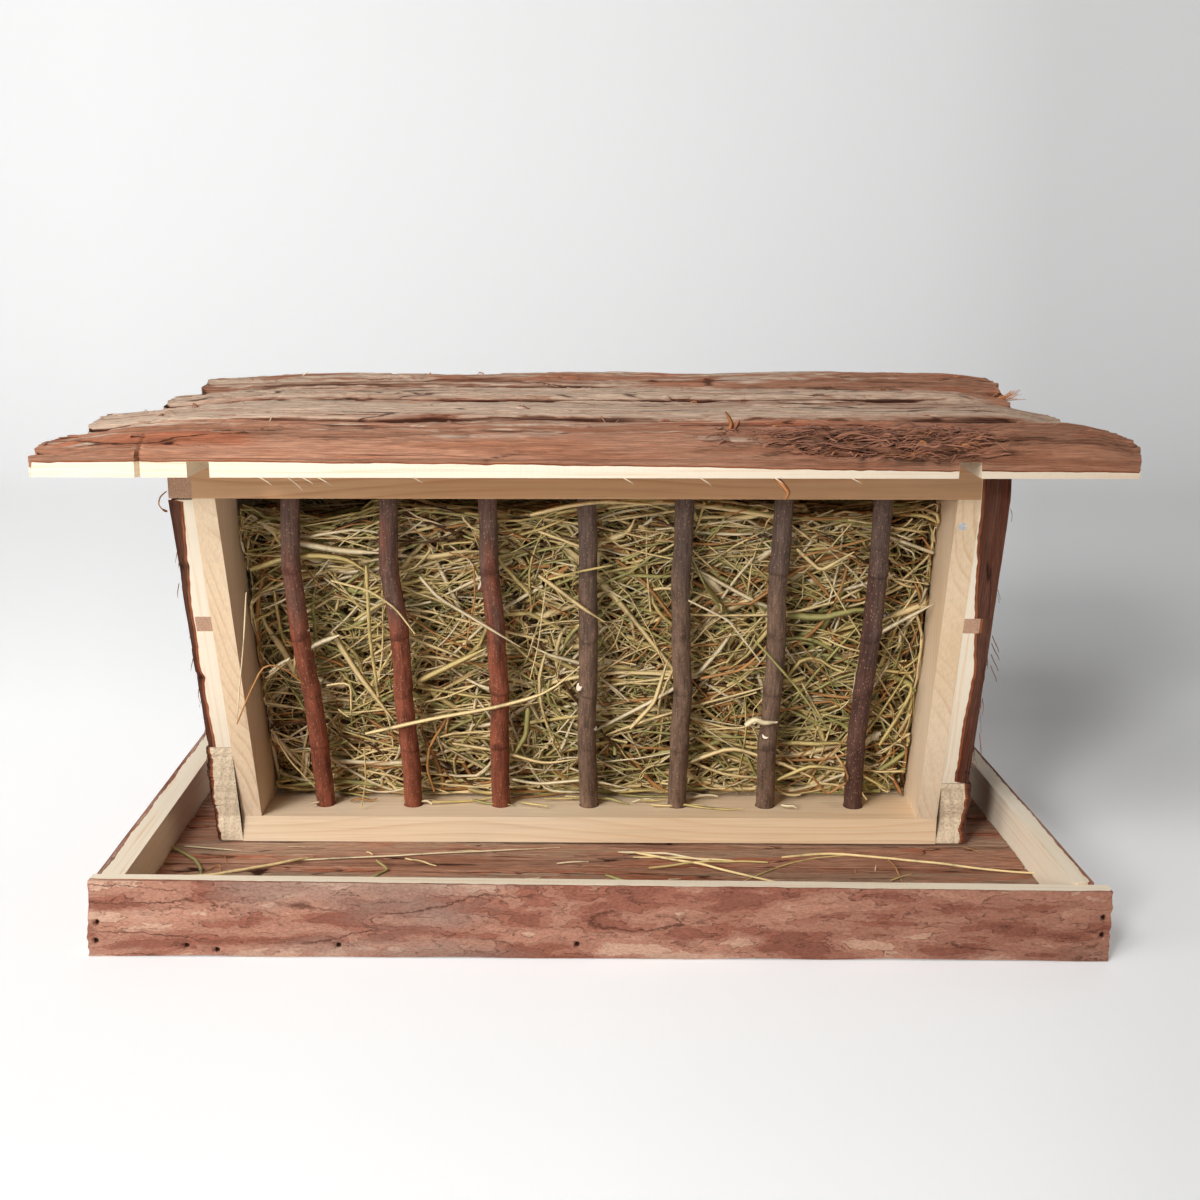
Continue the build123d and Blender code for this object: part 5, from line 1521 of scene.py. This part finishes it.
# Straws on the tray's floor and on the bottom rail: tone, width, flat or round, x and y of their way points.
TRAY_STRAWS = (
    ("straw", 2.2, False, ((-276, -114), (-240, -108), (-213, -94), (-184, -80))),
    ("straw", 1.5, False, ((-292, -124), (-262, -116), (-236, -109))),
    ("pale", 2.6, True, ((-196, -82), (-132, -74), (-85, -67), (-19, -58))),
    ("pale", 2.2, True, ((-271, -60), (-250, -63), (-231, -67))),
    ("green", 3.0, True, ((-279, -62), (-266, -74), (-257, -84), (-250, -96), (-243, -120))),
    ("green", 1.8, False, ((-145, -122), (-135, -108), (-128, -98), (-133, -90), (-138, -84))),
    ("pale", 1.0, False, ((-128, -111), (-95, -109))),
    ("pale", 1.4, False, ((-67, -118), (-46, -112), (-29, -108))),
    ("straw", 1.2, False, ((-120, -78), (-98, -90))),
    ("straw", 1.8, False, ((30, -66), (73, -86), (124, -116))),
    ("pale", 1.6, False, ((20, -64), (52, -66), (80, -78))),
    ("olive", 1.5, False, ((40, -92), (70, -84), (102, -80), (118, -82))),
    ("straw", 1.4, False, ((96, -78), (60, -72), (30, -72))),
    ("straw", 1.8, False, ((128, -74), (160, -66), (204, -76), (250, -90), (290, -100))),
    ("olive", 1.0, False, ((100, -110), (128, -84), (150, -72), (172, -68))),
    ("green", 1.8, False, ((12, -104), (24, -112), (36, -120))),
    ("straw", 1.2, False, ((66, -120), (88, -122), (104, -121))),
    ("brown", 1.0, False, ((196, -70), (200, -90), (200, -118))),
    ("pale", 1.4, True, ((52, -108), (60, -107))),
    ("brown", 0.9, False, ((-246, -100), (-240, -88), (-236, -100), (-232, -110))),
    ("brown", 0.9, False, ((-262, -112), (-256, -104), (-250, -112))),
    ("straw", 1.4, False, ((-286, 60), (-262, 90), (-220, 110))),
    ("pale", 2.0, True, ((-160, 92), (-110, 104), (-60, 98))),
    ("straw", 1.8, False, ((-30, 120), (20, 104), (90, 96))),
    ("green", 2.4, True, ((110, 112), (140, 126), (170, 118))),
    ("straw", 1.4, False, ((180, 90), (220, 112), (258, 140))),
)


class HAYFEEDER_OT_hay(bpy.types.Operator):
    """Fills the rack with hay, and lays loose straws across the bars and over the tray"""
    bl_idname = "hay_feeder.hay"
    bl_label = "Hay"

    def execute(self, context):
        sizes = settings("hay")
        rng = np.random.default_rng(51)
        for face, part in HAY_FACES.items():
            leaves_parts, stalks_parts = [], []
            for share, (deep_from, deep_to), long, tones in HAY_LAYERS:
                leaves, stalks = int(sizes.leaves * part * share), int(sizes.stalks * part * share)
                lines = smooth_lines(hay_ways(rng, leaves, face, sizes.length * long, deep_from, deep_to), 9)
                wide = np.clip(rng.lognormal(math.log(2.3), 0.48, leaves), 0.9, 6.5) * MM
                taper = np.interp(np.linspace(0, 1, 9), (0, 0.15, 0.6, 1), (0.6, 1, 0.85, 0.15))
                leaf = leaf_mesh(lines, wide[:, None] * taper[None], hay_facing(rng, leaves, face),
                                 rng.uniform(0.05, 0.6, leaves))
                leaves_parts.append((*leaf, tones_for(rng, leaves, tones)))
                lines = smooth_lines(hay_ways(rng, stalks, face, sizes.length * long * 1.1, deep_from, deep_to), 9)
                thick = np.clip(rng.lognormal(math.log(0.72), 0.36, stalks), 0.35, 1.7) * MM
                stalk = stalk_mesh(lines, thick[:, None] * np.linspace(1, 0.7, 9)[None])
                stalks_parts.append((*stalk, tones_for(rng, stalks, tones)))
            bundle(f"hay_leaves_{face}", leaves_parts, "root", replaces=("hay_fill",) if face == "front" else ())
            bundle(f"hay_stalks_{face}", stalks_parts, "root")

        parts = []
        for facing in (FRONT, BACK):
            for tone, width, flat, before, points in CROSSING_STRAWS:
                ways = [(-facing * x * MM, facing * (bar_distance(z * MM) + before * MM), z * MM) for x, z in points]
                parts.append(strand(ways, width * MM, flat, "hay_" + tone, facing=(0.15, facing, 0.35)))
        for tone, width, points in POST_STRAWS:
            parts.append(strand(np.array(points) * MM, width * MM, False, "hay_" + tone))
        bundle("hay_crossing_straws", parts, "root")

        parts = []
        for tone, width, flat, points in TRAY_STRAWS:
            steps = np.linspace(0, 1, 3 * len(points))
            known = np.linspace(0, 1, len(points))
            ways = []
            for step in steps:
                x, y = (np.interp(step, known, [p[i] for p in points]) * MM for i in (0, 1))
                ways.append((x, y, floor_height(x, y) + width * 0.5 * MM))
            ways = np.array(ways)
            ways[:, 2] = np.maximum(ways[:, 2], (ways[:, 2].max() + ways[:, 2].mean()) / 2 - 0.2 * MM)
            parts.append(strand(ways, width * MM, flat, "hay_" + tone, facing=(0, 0, 1), stations=21))
        # chaff on the floor
        for _ in range(40):
            x, y = rng.uniform(-0.27, 0.27), rng.choice([-1, 1]) * rng.uniform(0.056, 0.160)
            long, turn = rng.uniform(0.006, 0.030), rng.uniform(0, math.pi)
            ways = [(x + long * t * math.cos(turn), y + long * t * math.sin(turn) * 0.6,
                     floor_height(x, y) + (0.5 + 1.2 * (1 - abs(t))) * MM) for t in (-0.5, 0.0, 0.5)]
            parts.append(strand(ways, rng.uniform(0.5, 1.4) * MM, bool(rng.random() < 0.4),
                                rng.choice(["hay_straw", "hay_brown", "hay_olive", "hay_pale"]), facing=(0, 0, 1),
                                stations=7))
        # short stalks fallen on the bottom rails
        rail_top = box("bottom_rail_front")[1][2]
        for _ in range(34):
            facing = rng.choice([-1, 1])
            x, y = rng.uniform(-0.21, 0.21), facing * rng.uniform(0.010, 0.036)
            long, turn = rng.uniform(0.012, 0.05), rng.normal(0, 0.45)
            ways = [(np.clip(x + long * t * math.cos(turn), -0.217, 0.217), y + long * t * math.sin(turn) * 0.5,
                     rail_top + (0.8 + rng.uniform(0, 3.0)) * MM) for t in (-0.5, -0.1, 0.3, 0.5)]
            parts.append(strand(ways, rng.uniform(0.8, 2.2) * MM, bool(rng.random() < 0.6),
                                rng.choice(["hay_straw", "hay_pale", "hay_olive", "hay_brown", "hay_green"]),
                                facing=(0, facing, 1), stations=9))
        bundle("hay_loose_straws", parts, "root")
        return {"FINISHED"}


# ------------------------------------------------------------------ stage
class HAYFEEDER_OT_stage(bpy.types.Operator):
    """Sets the paper floor and backdrop, the lamps and the camera"""
    bl_idname = "hay_feeder.stage"
    bl_label = "Stage"

    def execute(self, context):
        place = settings("stage")
        scene = context.scene
        scene.view_settings.view_transform = "Standard"
        camera = bpy.data.objects.new("camera", bpy.data.cameras.new("camera"))
        camera.data.sensor_width = 36.0
        camera.data.lens = place.lens
        camera.data.clip_start = 0.02
        camera.data.clip_end = 40.0
        camera.location = place.camera_place
        camera.rotation_euler = (QUARTER - place.camera_pitch, 0.0, place.camera_turn)
        scene.collection.objects.link(camera)
        scene.camera = camera

        # the paper lies flat, then curves up behind the feeder: y and z of its section, in metres
        bend_from, bend = 1.6, 1.4
        profile = [(-6.0, 0.0), (bend_from, 0.0)]
        profile += [(bend_from + bend * math.sin(t), bend - bend * math.cos(t)) for t in np.linspace(0.05, QUARTER, 24)]
        profile += [(bend_from + bend, 6.0)]
        verts = [(x, y, z) for y, z in profile for x in (-7.0, 7.0)]
        faces = grid_faces(len(profile), 2)[:, ::-1]
        mesh = mesh_from("paper_backdrop", verts, faces, np.zeros(len(faces)))
        mesh.materials.append(self.paper())
        backdrop = bpy.data.objects.new("paper_backdrop", mesh)
        scene.collection.objects.link(backdrop)

        self.lamp("left_fill", (-1.05, -0.75, 0.62), (0.0, 0.0, 0.15), 0.6, place.fill_power)
        self.lamp("high_lamp", (-0.75, -1.35, 1.55), (0.0, -0.1, 0.1), 0.7, place.high_power)
        key = bpy.data.lights.new("front_left_key", "SUN")
        key.energy = place.key_strength
        key.angle = math.radians(11.0)
        key_lamp = bpy.data.objects.new("front_left_key", key)
        key_lamp.rotation_euler = Vector((1.4, 2.4, -1.0)).to_track_quat("-Z", "Y").to_euler()
        scene.collection.objects.link(key_lamp)
        world = bpy.data.worlds.new("studio")
        world.use_nodes = True
        # even white light; the camera itself sees it bright, so that what lies past the paper is pale too
        tree = world.node_tree
        rays = add(tree, "LightPath")
        seen = add(tree, "Math", {0: rays.outputs["Is Camera Ray"], 1: 0.85, 2: place.sky}, operation="MULTIPLY_ADD")
        feed(tree, tree.nodes["Background"], {"Color": 1.0, "Strength": seen})
        scene.world = world
        return {"FINISHED"}

    def paper(self):
        """Matt white paper. Seen from the camera it glows a little, brightest at the left, and keeps the shadows."""
        made, tree = new_surface("paper_matt")
        finished(made, settings("stage").floor, roughness=0.9, shine=0.1)
        spot = add(tree, "SeparateXYZ", {"Vector": add(tree, "TexCoord").outputs["Object"]})
        seen = add(tree, "BsdfDiffuse", {"Color": 0.8})
        # a fan of directions over the floor from under the camera, and how far back on it a place lies
        far = add(tree, "Math", {0: spot.outputs["Y"], 1: 1.15}, operation="ADD")
        fan = add(tree, "Math", {0: spot.outputs["X"], 1: far}, operation="DIVIDE")
        fan = add(tree, "MapRange", {"Value": fan, "From Min": -0.5, "From Max": 0.5})
        front = add(tree, "ValToRGB", {"Fac": fan}, stops=[
            (0.05, 0.20), (0.17, 0.21), (0.33, 0.27), (0.50, 0.28), (0.745, 0.22), (0.85, 0.16), (0.95, 0.13)])
        behind = add(tree, "ValToRGB", {"Fac": fan}, stops=[
            (0.05, 0.36), (0.17, 0.36), (0.33, 0.30), (0.50, 0.22), (0.70, 0.10), (0.78, 0.02), (0.95, 0.01)])
        deep = add(tree, "MapRange", {"Value": spot.outputs["Y"], "From Min": -0.15, "From Max": 0.30})
        glow = add(tree, "Mix", {0: deep, 6: front, 7: behind}, **BLEND)
        glowing = add(tree, "AddShader", {0: seen, 1: add(tree, "Emission", {"Strength": glow})})
        rays = add(tree, "LightPath")
        looked = add(tree, "Math", {0: rays.outputs["Is Camera Ray"], 1: rays.outputs["Is Glossy Ray"]},
                     operation="MAXIMUM")
        final = add(tree, "MixShader", {"Fac": looked, 1: tree.nodes["Principled BSDF"], 2: glowing})
        feed(tree, tree.nodes["Material Output"], {"Surface": final})
        return made

    def lamp(self, name, where, aim, wide, power):
        """A square soft box aimed at a point."""
        lamp = bpy.data.objects.new(name, bpy.data.lights.new(name, "AREA"))
        lamp.data.shape = "SQUARE"
        lamp.data.size = wide
        lamp.data.energy = power
        lamp.location = where
        lamp.rotation_euler = (Vector(aim) - Vector(where)).to_track_quat("-Z", "Y").to_euler()
        bpy.context.scene.collection.objects.link(lamp)


# ------------------------------------------------------------------ add-on
OPERATORS = (HAYFEEDER_OT_stage, HAYFEEDER_OT_timber, HAYFEEDER_OT_roof, HAYFEEDER_OT_shreds, HAYFEEDER_OT_tray,
             HAYFEEDER_OT_panels, HAYFEEDER_OT_bars, HAYFEEDER_OT_hay)


class HAYFEEDER_PT_panel(bpy.types.Panel):
    """Lists the feeder's settings and the operators that make its pieces"""
    bl_idname = "HAYFEEDER_PT_panel"
    bl_label = "Hay feeder"
    bl_space_type = "VIEW_3D"
    bl_region_type = "UI"
    bl_category = "Hay feeder"

    def draw(self, context):
        for name, group in SETTINGS.items():
            box_ui = self.layout.box()
            box_ui.label(text=name.title())
            for key in group.__annotations__:
                box_ui.prop(settings(name), key)
        for operator in OPERATORS:
            self.layout.operator(operator.bl_idname)


def register():
    for each in (*SETTINGS.values(), *OPERATORS, HAYFEEDER_PT_panel):
        bpy.utils.register_class(each)
    for name, group in SETTINGS.items():
        setattr(bpy.types.Scene, "hay_feeder_" + name, PointerProperty(type=group))


def unregister():
    for name in SETTINGS:
        delattr(bpy.types.Scene, "hay_feeder_" + name)
    for each in reversed((*SETTINGS.values(), *OPERATORS, HAYFEEDER_PT_panel)):
        bpy.utils.unregister_class(each)


def main():
    """Registers the add-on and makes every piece."""
    register()
    for operator in OPERATORS:
        group, name = operator.bl_idname.split(".")
        getattr(getattr(bpy.ops, group), name)()


if __name__ == "__main__":
    main()
